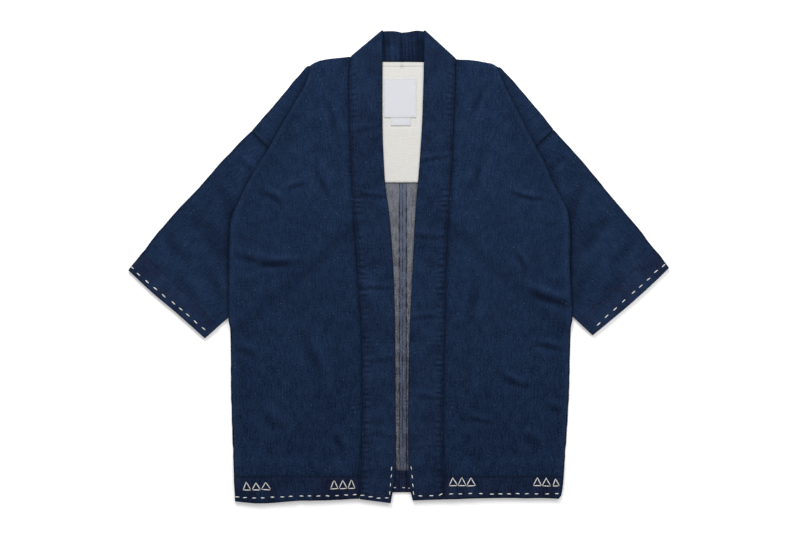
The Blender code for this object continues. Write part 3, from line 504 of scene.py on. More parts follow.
def cloth_shell(name, points, above, below, uv, marks, material, closed=0.0):
    """A closed shell of cloth about a grid of middle points.

    points is rows by columns by xyz in millimetres, nan where there is no cloth. above and below are the
    thickness on each side. uv is the place on the cut cloth in metres, closed its length round a tube.
    marks holds named values for the material; the mark "wrong" is (upper face, lower face).
    """
    count, wide = points.shape[:2]
    there = ~np.isnan(points[..., 0])
    turn = np.arange(1, wide + 1) % wide
    spans = wide if closed else wide - 1
    cell = there[:-1, :] & there[1:, :] & there[:-1, turn] & there[1:, turn]
    cell = cell[:, :spans]
    rows, cols = np.nonzero(cell)
    nxt = turn[cols]
    flat = points.reshape(-1, 3)
    this_row, next_row = rows * wide, (rows + 1) * wide
    key = np.stack([this_row + cols, this_row + nxt, next_row + nxt, next_row + cols], 1)
    a, b, c, d = (flat[key[:, k]] for k in range(4))
    facing = unit(np.cross(c - a, d - b))
    normals = np.zeros_like(flat)
    for k in range(4):
        np.add.at(normals, key[:, k], facing)
    normals = unit(normals)
    used = np.zeros(len(flat), bool)
    used[key.ravel()] = True
    index = np.cumsum(used) - 1
    total = int(used.sum())
    thick_up = np.broadcast_to(above, there.shape).reshape(-1, 1)
    thick_down = np.broadcast_to(below, there.shape).reshape(-1, 1)
    upper = (flat + normals * thick_up)[used]
    lower = (flat - normals * thick_down)[used]

    full = np.zeros((count + 1, wide + 2), bool)
    full[1:count, 1:spans + 1] = cell
    if closed:
        full[:, 0], full[:, wide + 1] = full[:, wide], full[:, 1]
    up, down = full[rows, cols + 1], full[rows + 2, cols + 1]
    before, after = full[rows + 1, cols], full[rows + 1, cols + 2]
    sides = []
    for start, end, neighbour in ((0, 1, up), (1, 2, after), (2, 3, down), (3, 0, before)):
        s, e = index[key[~neighbour, start]], index[key[~neighbour, end]]
        sides.append(np.stack([s + total, e + total, e, s], 1))
    top = index[key]
    faces = np.concatenate([top, top[:, ::-1] + total, *sides])

    mesh = bpy.data.meshes.new(name)
    mesh.vertices.add(2 * total)
    mesh.vertices.foreach_set("co", (np.concatenate([upper, lower]) * MM).astype(np.float32).ravel())
    mesh.loops.add(faces.size)
    mesh.loops.foreach_set("vertex_index", faces.ravel().astype(np.int32))
    mesh.polygons.add(len(faces))
    mesh.polygons.foreach_set("loop_start", np.arange(0, faces.size, 4, dtype=np.int32))
    mesh.update(calc_edges=True)

    place = uv.reshape(-1, 2)[used]
    corner_uv = np.concatenate([place, place])[faces]
    if closed:
        wraps = np.ptp(corner_uv[..., 0], axis=1) > closed / 2
        low = corner_uv[..., 0] < closed / 2
        corner_uv[..., 0] += np.where(wraps[:, None] & low, closed, 0.0)
    layer = mesh.uv_layers.new(name="cloth")
    layer.data.foreach_set("uv", corner_uv.reshape(-1).astype(np.float32))
    for label, values in marks.items():
        if label == "wrong":
            held = np.concatenate([np.full(total, values[0]), np.full(total, values[1])])
        else:
            held = np.broadcast_to(values, there.shape).reshape(-1)[used]
            held = np.concatenate([held, held])
        attribute = mesh.attributes.new(label, "FLOAT", "POINT")
        attribute.data.foreach_set("value", held.astype(np.float32))
    mesh.materials.append(material)
    mesh.shade_smooth()
    mesh.set_sharp_from_angle(angle=math.radians(55.0))
    mesh.validate()
    piece = bpy.data.objects.new(name, mesh)
    bpy.context.scene.collection.objects.link(piece)
    return piece


def upright(side, *grids):
    """Reverses the rows on the right side, so that the upper face of every grid looks up."""
    return grids if side.sign < 0 else tuple(grid[::-1] for grid in grids)


def spread(count, crowd=0.0):
    """Shares from 0 to 1, closer together near both ends as crowd grows."""
    t = np.linspace(0.0, 1.0, count)
    return blend(t, ease(t), crowd)


def edge_roll(edge, sign, height, floor, steps):
    """Middle points, as x and z, that turn down over the edge of the layer below."""
    radius = min(height - floor, ROLL_RADIUS)
    angle = np.linspace(0.0, math.pi / 2, steps)
    x = edge - sign * (DENIM / 2 + radius * (1.0 - np.sin(angle)))
    z = height - radius * (1.0 - np.cos(angle))
    z[-1] = floor
    return x, z


def half_turn(x, z, reach, steps, drop=LAYER_STEP):
    """Middle points, as x and z, round a fold that turns from one layer to the layer below it."""
    angle = np.linspace(0.0, math.pi, steps + 1)
    radius = drop / 2
    return x + reach * radius * np.sin(angle), z - radius + radius * np.cos(angle)


def front_grid(side):
    """The front's rows: the top layer, the fold, the return layer, the inner fold and the wing."""
    sign = side.sign
    top, low = side.front["y"][0], side.front["y"][-1]
    heights = np.linspace(top, low, FRONT_ROWS)
    at_top = ease((heights - top + SHOULDER_SHIFT) / SHOULDER_SHIFT)
    at_hem = ease((low + HEM_SHIFT - heights) / HEM_SHIFT)
    wide = TOP_COLUMNS + 2 * FOLD_STEPS + 1 + RETURN_COLUMNS + WING_COLUMNS + ROLL_STEPS
    grid = np.full((len(heights), wide, 3), np.nan)
    share = spread(TOP_COLUMNS + 1, 0.35)[:-1]
    rise = float(curve(side.seam_x(top), side.shoulder_top["x"], side.shoulder_top["y"])) - top
    for k, y in enumerate(heights):
        seam = float(side.seam_x(y + rise * at_top[k])) + sign * PANEL_GAP
        edge = float(side.edge_x(y)) + sign * 0.45 * float(hills(y, 0.0, 13.0, 31))
        if side.has_return(y):
            drop = float(side.front_height(edge, y) - side.wing_height(edge, y)) - LAYER_STEP
            end = edge - sign * (DENIM + drop) / 2
            xs, zs = pleat_line(side, y, end)
        else:
            height = float(side.front_height(edge, y))
            beside = side.armpit_y - ARMPIT_MARGIN < y < side.armpit_y
            drop = ease((side.armpit_y - y) / ARMPIT_MARGIN) if beside else 1.0
            floor = blend(height - LAYER_STEP / 2, EDGE_DROP_MID, drop)
            xs, zs = edge_roll(edge, sign, height, floor, ROLL_STEPS)
            end = xs[0]
        x = blend(seam, end, share)
        line = np.concatenate([x, xs])
        grid[k, :len(line), 0] = line
        grid[k, :len(line), 1] = y
        grid[k, :len(line), 2] = np.concatenate([side.front_height(x, y), zs])
    shoulder = curve(grid[..., 0], side.shoulder_top["x"], side.shoulder_top["y"])
    hem = curve(grid[..., 0], side.hem["x"], side.hem["y"]) + 0.7 * hills(grid[..., 0], 5.0, 24.0, 33)
    is_top = np.arange(wide)[None, :] < TOP_COLUMNS + ROLL_STEPS
    grid[..., 1] += np.where(is_top, at_top[:, None] * (shoulder - top), 0.0) + at_hem[:, None] * (hem - low)
    return grid


def pleat_line(side, y, end):
    """The folded part of one row, as x and z, from the outer fold to the wing's edge."""
    sign = side.sign
    top = float(side.front_height(end, y))
    xs, zs = half_turn(end, top, sign, FOLD_STEPS, top - float(side.wing_height(end, y)) - LAYER_STEP)
    stop = float(side.inner_x(y))
    wing = side.has_wing(y)
    if wing:
        stop += sign * LAYER_STEP / 2
    x = blend(end, stop, np.linspace(0.0, 1.0, RETURN_COLUMNS + 1)[1:])
    z = side.wing_height(x, y) + LAYER_STEP
    xs, zs = np.concatenate([xs, x]), np.concatenate([zs, z])
    if not wing:
        return xs, zs
    fold_x, fold_z = half_turn(stop, float(z[-1]), -sign, FOLD_STEPS)
    edge = float(side.wing_x(y))
    if y > side.root_top[1]:
        edge += sign * 0.4 * float(hills(y, 2.0, 12.0, 32))
        roll_x, roll_z = edge_roll(edge, sign, float(wing_surface(side, edge, y)), EDGE_DROP_MID, ROLL_STEPS)
    else:
        roll_x = edge - sign * (2.0 * BUTT_GAP + 0.8 * np.arange(ROLL_STEPS)[::-1])
        roll_z = wing_surface(side, roll_x, y)
    x = blend(stop, roll_x[0], np.linspace(0.0, 1.0, WING_COLUMNS + 1)[1:-1])
    z = wing_surface(side, x, y)
    return np.concatenate([xs, fold_x[1:], x, roll_x]), np.concatenate([zs, fold_z[1:], z, roll_z])


def wing_surface(side, x, y):
    """Middle of the wing, with the flat-felled strip beside the armhole seam."""
    off = -side.armhole_distance(x, y)
    strip = 0.55 * ease((FELL_WIDTH - off) / 1.6) * ease(off / 1.2 + 0.4)
    soft = 0.3 * hills(x, y, 26.0, 14)
    return side.wing_height(x, y) + strip + soft + puckers(x * 0.7 - y * 0.7, off - 5.0, 8.0, 0.16, 27)


def make_front(side, material):
    """A front in one shell: top layer, pleat and wing, with its turned-up hem."""
    grid = front_grid(side)
    x, y = grid[..., 0], grid[..., 1]
    columns = np.arange(grid.shape[1])[None, :]
    inside = columns < TOP_COLUMNS - 3
    below = DENIM / 2 + np.where(inside, HEM_EXTRA * ease((FRONT_HEM_THICK_Y - y) / FRONT_HEM_THICK_EASE), 0.0)
    across = np.nancumsum(np.abs(np.diff(x, axis=1, prepend=x[:, :1])), axis=1)
    uv = np.stack([across, y], -1) * MM
    hem = ease((FRONT_HEM_LINE_Y + 1.5 - y) / 3.0) * (columns < TOP_COLUMNS + ROLL_STEPS)
    hem = hem * np.clip(0.5 + 0.55 * hills(x, y * 0.3, 16.0, 34), 0.1, 1.0)
    # Painted shade along the seam between the front and the band
    seam = np.exp(-((x - side.panel_seam_x(y)) / 5.0) ** 2)
    wing = columns >= TOP_COLUMNS + 2 * FOLD_STEPS + RETURN_COLUMNS
    tone = np.where(wing, 0.50, 0.42 - 0.30 * ease((40.0 - y) / 380.0)) * np.ones_like(x)
    # The colour marks follow a share of the front's relief: lighter on its ridges, as wear and painted highlight, and
    # painted shade in its troughs
    relief = np.where(columns < TOP_COLUMNS, side.front_relief(x, y, 0.2), 0.0)
    # Painted highlight along the outer fold's edge
    relief = relief + 0.5 * np.exp(-((columns - TOP_COLUMNS + 2.0) / 2.5) ** 2)
    # Painted shade along the edges of the felled strip beside the armhole seam
    strip = np.where(wing, np.exp(-((np.abs(side.armhole_distance(x, y) + 5.5) - 3.8) / 1.0) ** 2), 0.0)
    # Painted shade where the cloth turns down at its edges and in the lee of the outer fold
    relief = relief - 0.8 * strip - painted_edge_shade(side, x, y, wing) - np.where(wing, painted_fold_lee_shade(side, x, y), 0.0)
    loose = (np.nan_to_num(values) for values in (uv, hem, tone, seam, relief))
    grid, below, uv, hem, tone, seam, relief = upright(side, grid, below, *loose)
    # The mark "deep" carries the painted shade
    marks = {"wrong": (0.0, 1.0), "hem": hem, "tone": tone, "seam": seam, "worn": relief, "deep": -relief}
    name = "front_" + side.name
    piece = cloth_shell(name + "_cloth", grid, DENIM / 2, below, uv, marks, material)
    finish_panel(piece, name)
    return piece


def painted_fold_lee_shade(side, x, y):
    """Painted shade on the cloth that lies beside the fuller outer fold, in its lee."""
    off = side.sign * (x - side.edge_x(y))
    inside = ease((side.fold_top_y + 4.0 - y) / 30.0) * ease((y - side.armpit_y) / 40.0) * (off > -3.0)
    return inside * (0.75 * np.exp(-(off / 3.0) ** 2) + 0.5 * np.exp(-(off / 14.0) ** 2))


def painted_edge_shade(side, x, y, wing):
    """Painted shade where the cloth turns down at its own edges."""
    outer = np.where(wing, side.wing_x(y), side.edge_x(y))
    to_edge = np.abs(outer - x)
    to_hem = np.abs(y - curve(x, side.hem["x"], side.hem["y"]))
    return 1.7 * np.exp(-(np.minimum(to_edge, to_hem) / 2.0) ** 2)


def finish_panel(piece, node):
    """A panel rides on the garment's body and stands for its solid, which is hidden."""
    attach(piece, "root")
    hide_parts(node)


def back_edge(side, y):
    """Outer edge of the back, just inside the edge of what lies over it."""
    sign = side.sign
    if y > side.fold_top_y:
        return float(side.edge_x(y)) - sign * EDGE_TUCK
    if y >= side.root_top[1]:
        return float(side.wing_x(y)) - sign * EDGE_TUCK
    tuck = EDGE_TUCK + HEM_EXTRA * float(hem_share(y))
    side_line = float(side.edge_x(y)) - sign * tuck
    if y < side.root_low[1]:
        return side_line
    return sign * max(sign * side_line, sign * float(side.wing_x(y)) - SEAM_GAP)


def make_back(side, material):
    """A back half: flat underneath, its wrong side up, with a felled centre seam and a turned-up hem."""
    sign = side.sign
    top = side.front["y"][0] - BACK_TOP_TUCK
    heights = np.linspace(top, BACK_HEM_Y, BACK_ROWS)
    centre = CENTRE_X + sign * BUTT_GAP
    near = np.concatenate([np.linspace(0.0, 8.0, 9), np.linspace(10.0, 84.0, 26)])
    far = np.linspace(0.0, 1.0, 11)[1:]
    grid = np.zeros((len(heights), len(near) + len(far), 3))
    for k, y in enumerate(heights):
        edge = back_edge(side, y)
        x = centre + sign * near
        grid[k, :, 0] = np.concatenate([x, blend(x[-1], edge, far)])
        grid[k, :, 1] = y
    x, y = grid[..., 0], grid[..., 1]
    at_top = ease((y - top + 20.0) / 20.0)
    neck = np.abs(x) < abs(side.corner[0][0]) + 5.0
    y = y + at_top * np.where(neck, NECK_SEAM_Y - SEAM_GAP - top, 0.0)
    at_hem = ease((BACK_HEM_Y + HEM_SHIFT - y) / HEM_SHIFT)
    side_hem = curve(x, side.hem["x"], side.hem["y"]) + BACK_HEM_TUCK
    low = blend(BACK_HEM_Y, side_hem, ease((np.abs(x - centre) - 14.0) / 60.0))
    y = y + at_hem * (low - BACK_HEM_Y)
    grid[..., 1] = y
    grid[..., 2] = BACK_MID

    from_centre = np.abs(x - centre)
    line = y - BACK_HEM_LINE_Y
    seam = SEAM_EXTRA * ease((CENTRE_SEAM_HALF - from_centre) / 1.0) * ease((141.0 - y) / 8.0)
    hem = HEM_EXTRA * ease(-line / 2.0)
    open_part = ease((46.0 - from_centre) / 12.0) * ease((146.0 - y) / 10.0)
    soft = 0.22 + 0.22 * hills(x, y, 34.0, 41) + puckers(y, from_centre - 7.5, 5.0, 0.16, 42)
    soft = soft + puckers(x, line, 5.0, 0.14, 43)
    above = DENIM / 2 + np.maximum(hem, seam) + np.clip(soft, 0.0, 0.9) * open_part
    uv = np.stack([x, y], -1) * MM
    is_hem = ease(-line / 1.5)
    # Painted shade at the fold of the back's hem
    painted_hem_fold_shade = np.exp(-((y - BACK_HEM_Y) / 4.0) ** 2)
    tone = ease((y + 180.0) / 330.0)
    off = x - CENTRE_X
    fell_lines = ((-6.6, 1.3), (-1.0, 0.9), (6.4, 1.3))
    lines = sum(np.exp(-((off - at) / 0.9) ** 2) * share for at, share in fell_lines)
    ridge = np.exp(-((off + 3.8) / 1.3) ** 2) + 0.8 * np.exp(-((off - 10.5) / 2.0) ** 2)
    relief = 0.5 * ridge + 0.5 * hills(x, y, 9.0, 44) - lines * (1.0 + 0.3 * hills(y, x, 14.0, 45))
    relief = relief - 0.9 * np.exp(-((line - 1.0) / 1.2) ** 2)
    fell = ease((CENTRE_SEAM_HALF + 0.6 - np.abs(off)) / 1.4) * (1.0 - is_hem)
    # Painted shade on the wrong side under the seam between the band and the front
    relief = relief - 3.0 * np.exp(-((x - side.seam_x(y)) / 5.0) ** 2)
    flip = upright(side, grid, above, uv, is_hem, tone, painted_hem_fold_shade, relief, fell)
    grid, above, uv, is_hem, tone, painted_hem_fold_shade, relief, fell = flip
    marks = {"wrong": (1.0, 0.0), "hem": is_hem, "tone": tone, "seam": painted_hem_fold_shade, "turned": is_hem}
    # The mark "deep" carries painted shade: the fell's dark lines, the hem line and the shade under the band's seam
    marks.update({"worn": relief, "deep": -relief, "fell": fell})
    name = "back_" + side.name
    piece = cloth_shell(name + "_cloth", grid, above, DENIM / 2, uv, marks, material)
    finish_panel(piece, name)
    return piece


def sleeve_sections(side):
    """Top and lower edge points of evenly spaced sections, with the distance from the armhole."""
    run = np.hypot(np.diff(side.sleeve["top_x"]), np.diff(side.sleeve["top_y"]))
    reach = np.concatenate([[0.0], np.cumsum(run)])
    at = np.linspace(0.0, reach[-1], SLEEVE_SECTIONS)
    return at, {name: curve(at, reach, values) for name, values in side.sleeve.items()}


def sleeve_relief(side, x, y, from_cuff, from_root, share):
    """Creases, seam puckers and the cuff's stitch line on the sleeve's upper wall."""
    relief = crease_relief(x, y, SLEEVE_CREASES) + 0.4 * hills(x, y, 58.0, 51) + 0.25 * hills(x, y, 19.0, 52)
    relief = relief * ease(from_root / 14.0 + 0.1) * ease(share / 0.09) * ease((1.0 - share) / 0.09)
    line = from_cuff - CUFF_HEM
    relief = relief - 0.8 * np.exp(-(line / 1.6) ** 2) + puckers(share * 184.0, line + 4.0, 7.0, 0.5, 53)
    relief = relief + 0.45 * hills(share * 184.0, 5.0, 15.0, 56) * ease((CUFF_HEM - from_cuff) / 8.0)
    return soft_floor(relief + puckers(share * 224.0, from_root - 2.0, 6.0, 0.3, 54), -0.6)


def make_sleeve(side, material):
    """A sleeve: a flattened tube, open at the armhole and the cuff, with a doubled cuff hem."""
    sign, radius = side.sign, LAYER_STEP / 2
    at, section = sleeve_sections(side)
    length = at[-1]
    floor_share, roof_share = np.linspace(0, 1, SLEEVE_FLOOR), np.linspace(0, 1, SLEEVE_ROOF)
    roof_start = SLEEVE_FLOOR + SLEEVE_TURN - 1
    wide = roof_start + SLEEVE_ROOF + SLEEVE_TURN - 1
    grid = np.zeros((len(at), wide, 3))
    reliefs = np.zeros((len(at), wide))
    for k, place in enumerate(at):
        top = np.array([section["top_x"][k], section["top_y"][k]])
        low = np.array([section["low_x"][k], section["low_y"][k]])
        across = (top - low) / np.linalg.norm(top - low)
        along = np.array([sign * abs(across[1]), -abs(across[0])])
        shift = along * BUTT_GAP * (1.0 - ease(place / 6.0))
        wobble = 0.4 * float(hills(place, 0.0, 12.0, 55))
        start = low + shift + across * (radius + DENIM / 2)
        stop = top + shift - across * (radius + DENIM / 2 + wobble)
        pull = along * ease((place - length + CUFF_PULL) / CUFF_PULL)
        floor_xy = blend(start, stop, floor_share[:, None]) + pull * cuff_bow(side, floor_share)[:, None]
        roof_xy = blend(start, stop, roof_share[:, None]) + pull * cuff_bow(side, roof_share)[:, None]
        start, stop = roof_xy[0], roof_xy[-1]
        floor_z = BACK_MID + LAYER_STEP * side.root(floor_xy[:, 0], floor_xy[:, 1])
        x, y = roof_xy.T
        relief = sleeve_relief(side, x, y, length - place, place, roof_share)
        roof_z = sleeve_roof(side, x, y, length - place) + relief
        # Painted shade at the upper wall's top edge, in the lee of the front's fold and at the cuff's edge, and
        # lighter over the doubled cuff hem
        painted_sleeve_shade = 1.1 * np.exp(-((1.0 - roof_share) * 200.0 / 1.8) ** 2) + painted_fold_lee_shade(side, x, y)
        painted_sleeve_shade = painted_sleeve_shade + 0.9 * np.exp(-((length - place) / 1.6) ** 2)
        painted_sleeve_shade = painted_sleeve_shade - 0.5 * ease((CUFF_HEM - 2.0 - length + place) / 3.0)
        reliefs[k, roof_start:roof_start + SLEEVE_ROOF] = (relief - painted_sleeve_shade)[::-1]
        ring = [np.column_stack([floor_xy, floor_z]), turn_over(stop, across, floor_z[-1], roof_z[-1])]
        ring += [np.column_stack([roof_xy, roof_z])[::-1], turn_over(start, -across, roof_z[0], floor_z[0])]
        grid[k] = np.concatenate(ring)
    from_cuff = (length - at)[:, None] * np.ones((1, wide))
    below = DENIM / 2 + HEM_EXTRA * ease((CUFF_HEM + 2.0 - from_cuff) / 4.0)
    below = below * (0.55 + 0.45 * ease(from_cuff / 2.5))
    above = DENIM / 2 * (0.45 + 0.55 * ease(from_cuff / 2.0))
    step = np.linalg.norm(np.diff(grid, axis=1, prepend=grid[:, :1]), axis=2)
    girth = np.cumsum(step, axis=1).mean(axis=0)
    girth_all = float(girth[-1] + np.linalg.norm(grid[:, -1] - grid[:, 0], axis=1).mean())
    uv = np.stack([np.broadcast_to(girth, from_cuff.shape), -at[:, None] * np.ones((1, wide))], -1) * MM
    blotches = np.clip(0.62 + 0.6 * hills(girth[None, :], from_cuff, 15.0, 57), 0.1, 1.0)
    hem = 0.8 * ease((CUFF_HEM - from_cuff) / 2.0) * blotches
    fold_top = np.exp(-((np.arange(wide) - SLEEVE_FLOOR - SLEEVE_TURN / 2) / 5.0) ** 2)[None, :]
    tone = 0.45 + 0.3 * fold_top + 0.1 * np.exp(-(from_cuff / 5.0) ** 2)
    # Painted shade at the sleeve's armhole end
    seam = np.exp(-((length - from_cuff) / 5.0) ** 2)
    if sign < 0:
        flip = (grid, below, above, uv, hem, tone, seam, reliefs)
        grid, below, above, uv, hem, tone, seam, reliefs = (g[::-1] for g in flip)
    # The mark "deep" carries the painted shade
    marks = {"wrong": (0.0, 1.0), "hem": hem, "tone": tone, "seam": seam, "worn": reliefs, "deep": -reliefs}
    name = "sleeve_" + side.name
    piece = cloth_shell(name + "_cloth", grid, above, below, uv, marks, material, closed=girth_all * MM)
    finish_panel(piece, name)
    return piece


def sleeve_roof(side, x, y, from_cuff):
    """Middle of the sleeve's upper wall before its relief: it rises over the root and the doubled cuff."""
    puff = 2.0 * HEM_EXTRA * ease((CUFF_PUFF_REACH - from_cuff) / CUFF_PUFF_EASE)
    return BACK_MID + LAYER_STEP * side.root(x, y) + LAYER_STEP + puff


def cuff_bow(side, share):
    """How far the cuff's edge stands out past a straight line, from its lower to its top end."""
    bow = CUFF_BOW_LEFT if side.sign < 0 else CUFF_BOW_RIGHT
    return curve(share, bow["share"], bow["out"])


def turn_over(centre, outward, from_z, to_z):
    """Points of a flat tube's round edge, between its two walls."""
    angle = (math.pi * np.arange(1, SLEEVE_TURN) / SLEEVE_TURN)[:, None]
    half = (to_z - from_z) / 2
    xy = centre + outward * min(abs(half), LAYER_STEP / 2) * np.sin(angle)
    return np.column_stack([xy, (from_z + to_z) / 2 - half * np.cos(angle)])


def band_sections(side):
    """Every section along the band: its seam and free edge points, its height past the turn, the upper height."""
    half = BAND / 2
    under, over = half, half + BAND + REST_GAP
    radius = (over - under) / 2
    seam, free = np.array(side.corner[0]), np.array(side.corner[1])
    along = (free - seam) / np.linalg.norm(free - seam)
    outward = np.array([-along[1], along[0]])
    outward = outward * np.sign(outward[1])
    angle = np.linspace(0.0, math.pi, 13)
    reach = (radius * np.sin(angle) - radius - 0.2 * half)[:, None] * outward
    arc = np.concatenate([seam + reach, free + reach], axis=1)
    arc_z = (over + under) / 2 + radius * np.cos(angle)
    front_rows = np.column_stack([side.band[k] for k in ("seam_x", "seam_y", "free_x", "free_y")])
    neck_rows = np.column_stack([side.neck[k] for k in ("seam_x", "seam_y", "free_x", "free_y")])
    front = resample(np.concatenate([front_rows, arc[:1]]), BAND_SECTIONS)
    neck = resample(np.concatenate([arc[-1:], neck_rows]), NECK_SECTIONS)
    lines = np.concatenate([front, arc[1:-1], neck])
    base = np.concatenate([np.full(len(front), np.nan), arc_z[1:-1], np.full(len(neck), under)])
    return lines, base, over


def resample(rows, count):
    """Evenly spaced sections on smooth curves through a table's rows."""
    middle = (rows[:, :2] + rows[:, 2:]) / 2
    reach = np.concatenate([[0.0], np.cumsum(np.linalg.norm(np.diff(middle, axis=0), axis=1))])
    at = np.linspace(0.0, reach[-1], count)
    return np.column_stack([curve(at, reach, rows[:, k]) for k in range(rows.shape[1])])


def make_collar(side, material):
    """Half of the collar: the doubled band up the front, folded over at the shoulder, to the centre back."""
    lines, base, over = band_sections(side)
    rounding = 0.1 * np.sin(np.linspace(0, math.pi / 2, 9))
    share = np.concatenate([np.linspace(0.0, 0.9, 25)[:-1], 0.9 + rounding])
    xy = blend(lines[:, None, :2], lines[:, None, 2:], share[None, :, None])
    x, y = xy[..., 0], xy[..., 1]
    climb = ease((y - BAND_TURN_Y) / BAND_TURN_EASE)
    on_front = blend(band_rest(side, x, y) + BAND / 2, over, climb)
    z = np.where(np.isnan(base)[:, None], on_front, np.nan_to_num(base)[:, None])
    middle = (lines[:, :2] + lines[:, 2:]) / 2
    run = np.concatenate([[0.0], np.cumsum(np.linalg.norm(np.diff(middle, axis=0), axis=1))])[:, None]
    width = np.linalg.norm(lines[:, 2:] - lines[:, :2], axis=1)[:, None]
    from_seam, from_free = share[None, :] * width, (1.0 - share[None, :]) * width

    relief = 1.5 * crease_relief(x, y, BAND_CREASES) + 0.3 * hills(x, y, 41.0, 61) + 0.25 * hills(x, y, 15.0, 66)
    strength = 1.3 + 0.9 * ease((260.0 - y) / 200.0)
    relief = relief + puckers(run, from_seam - 7.5, 6.5, 1.0, 62) * strength
    relief = relief + puckers(run, from_free - 5.0, 5.0, 0.2, 63)
    relief = relief - 0.7 * np.exp(-((from_seam - 4.4) / 1.0) ** 2)
    number = np.arange(len(lines))[:, None]
    is_front = number < BAND_SECTIONS - 6
    neck_end = ease((run - run[-1] + 150.0) / 20.0) * (number > BAND_SECTIONS + 12)
    waves = NECK_GATHERS_LEFT if side.sign < 0 else NECK_GATHERS_RIGHT
    across = x + 0.05 * (from_seam - 27.0)
    rows = zip(*waves.values())
    gather = sum(deep * np.exp(-((across - at) / wide / 1.25) ** 2) for at, wide, deep in rows)
    gather = (gather + 0.25 * hills(x, y, 16.0, 64)) * (0.45 + 0.55 * ease(from_free / 26.0)) * neck_end
    relief = np.where(is_front, soft_floor(relief, -0.9), 0.0)
    past_round = np.clip((share - 0.955) / 0.05, 0.0, 1.0)
    side_round = np.sqrt(np.clip(1.0 - past_round ** 2, 0.04, 1.0))[None, :]
    seam_low = 0.62 + 0.38 * ease(from_seam / 3.0)
    end_round = 0.55 + 0.45 * ease(run / 2.5)
    above = BAND / 2 * side_round * seam_low * end_round + relief * side_round
    below = BAND / 2 * side_round * (0.8 + 0.2 * ease(from_seam / 2.0))
    below = below - np.clip(gather, -0.6, 1.2) * side_round
    grid = np.dstack([x, y, z])
    # Painted shade in the gathers of the neck
    relief = relief - 1.9 * np.clip(gather, -0.5, 1.2) * neck_end
    uv = np.stack([from_seam, run * np.ones_like(from_seam)], -1) * MM
    hem = 0.12 + 0.3 * np.exp(-(from_seam / 8.0) ** 2) + 0.5 * ease((-390.0 - y) / 24.0)
    tone = 0.38 + 0.2 * ease((y - 150.0) / 220.0) + 0.15 * hills(x, y, 33.0, 65)
    # Painted shade along the band's seam
    seam = np.exp(-(from_seam / 2.6) ** 2)
    # Painted shade along the free edge, at the lower end and at the centre-back end where the two halves meet
    relief = relief - 0.9 * np.exp(-(from_free / 1.5) ** 2) - 0.7 * np.exp(-(run / 1.5) ** 2)
    relief = relief - 1.8 * np.exp(-((run[-1] - run) / 1.6) ** 2)
    if side.sign < 0:
        flip = (grid, above, below, uv, hem, tone, seam, relief)
        grid, above, below, uv, hem, tone, seam, relief = (g[::-1] for g in flip)
    marks = {"wrong": (0.0, 0.0), "hem": hem, "tone": tone, "seam": seam, "worn": relief, "deep": -relief}
    name = "collar_" + side.name
    piece = cloth_shell(name + "_cloth", grid, above, below, uv, marks, material)
    finish_panel(piece, name)
    return piece


def make_lining(material):
    """The canvas yoke lining, with its stitched top edge and its frayed lower edge."""
    left, low, right, high = LINING_BOX
    x, y = np.meshgrid(np.linspace(right, left, 86), np.linspace(high, low, 110))
    notch = np.exp(-((x - 6.5) / 3.2) ** 2) * np.exp(-((high - y) / 12.0) ** 2)
    fade = ease((high - y) / 8.0) * ease((x - left) / 8.0) * ease((right - x) / 8.0)
    folds = 0.5 * np.exp(-((x - 1.0 + 0.05 * y) / 3.0) ** 2) + 0.4 * np.exp(-((x - 30.0 - 0.04 * y) / 3.5) ** 2)
    folds = folds * ease((262.0 - y) / 60.0)
    soft = (0.3 + 0.25 * hills(x, y, 30.0, 71) + folds) * fade
    line = high - y - 7.5 - 0.5 * hills(x, 2.0, 26.0, 75)
    stitched = np.exp(-(line / 0.9) ** 2)
    soft = soft - 0.4 * stitched + puckers(x, line, 4.0, 0.12, 72) - 0.35 * notch
    edge = y + np.where(y < low + 0.1, 0.5 * hills(x, 0.0, 3.0, 73), 0.0)
    beside = np.abs(x - (LABEL_MAIN_BOX[0] + LABEL_MAIN_BOX[2]) / 2) < (LABEL_MAIN_BOX[2] - LABEL_MAIN_BOX[0]) / 2 + 4
    under_label = beside & (y > LABEL_SMALL_BOX[1] - 4) & (y < LABEL_MAIN_BOX[3] + 4)
    soft = np.where(under_label, np.minimum(soft, 0.15), soft)
    grid = np.dstack([x, edge, np.full_like(x, LINING_MID)])
    # The rim mark darkens the stitch line, the notch, the top edge and the frayed lower edge: painted shade, with
    # dark frayed threads at the lower edge
    frayed = np.exp(-((y - low) / 1.6) ** 2)
    dark = 0.45 * stitched + 0.6 * notch * np.exp(-((line - 1.0) / 5.0) ** 2) + 1.2 * frayed
    dark = dark + 0.3 * np.exp(-((high - y) / 1.4) ** 2)
    marks = {"wrong": (0.0, 0.0), "hem": dark, "tone": 0.5 + 0.3 * hills(x, y, 40.0, 74)}
    above = CANVAS / 2 + np.clip(soft, -0.4, 1.1)
    piece = cloth_shell("lining_yoke_cloth", grid, above, CANVAS / 2, np.dstack([x, y]) * MM, marks, material)
    finish_panel(piece, "lining_yoke")
    return piece


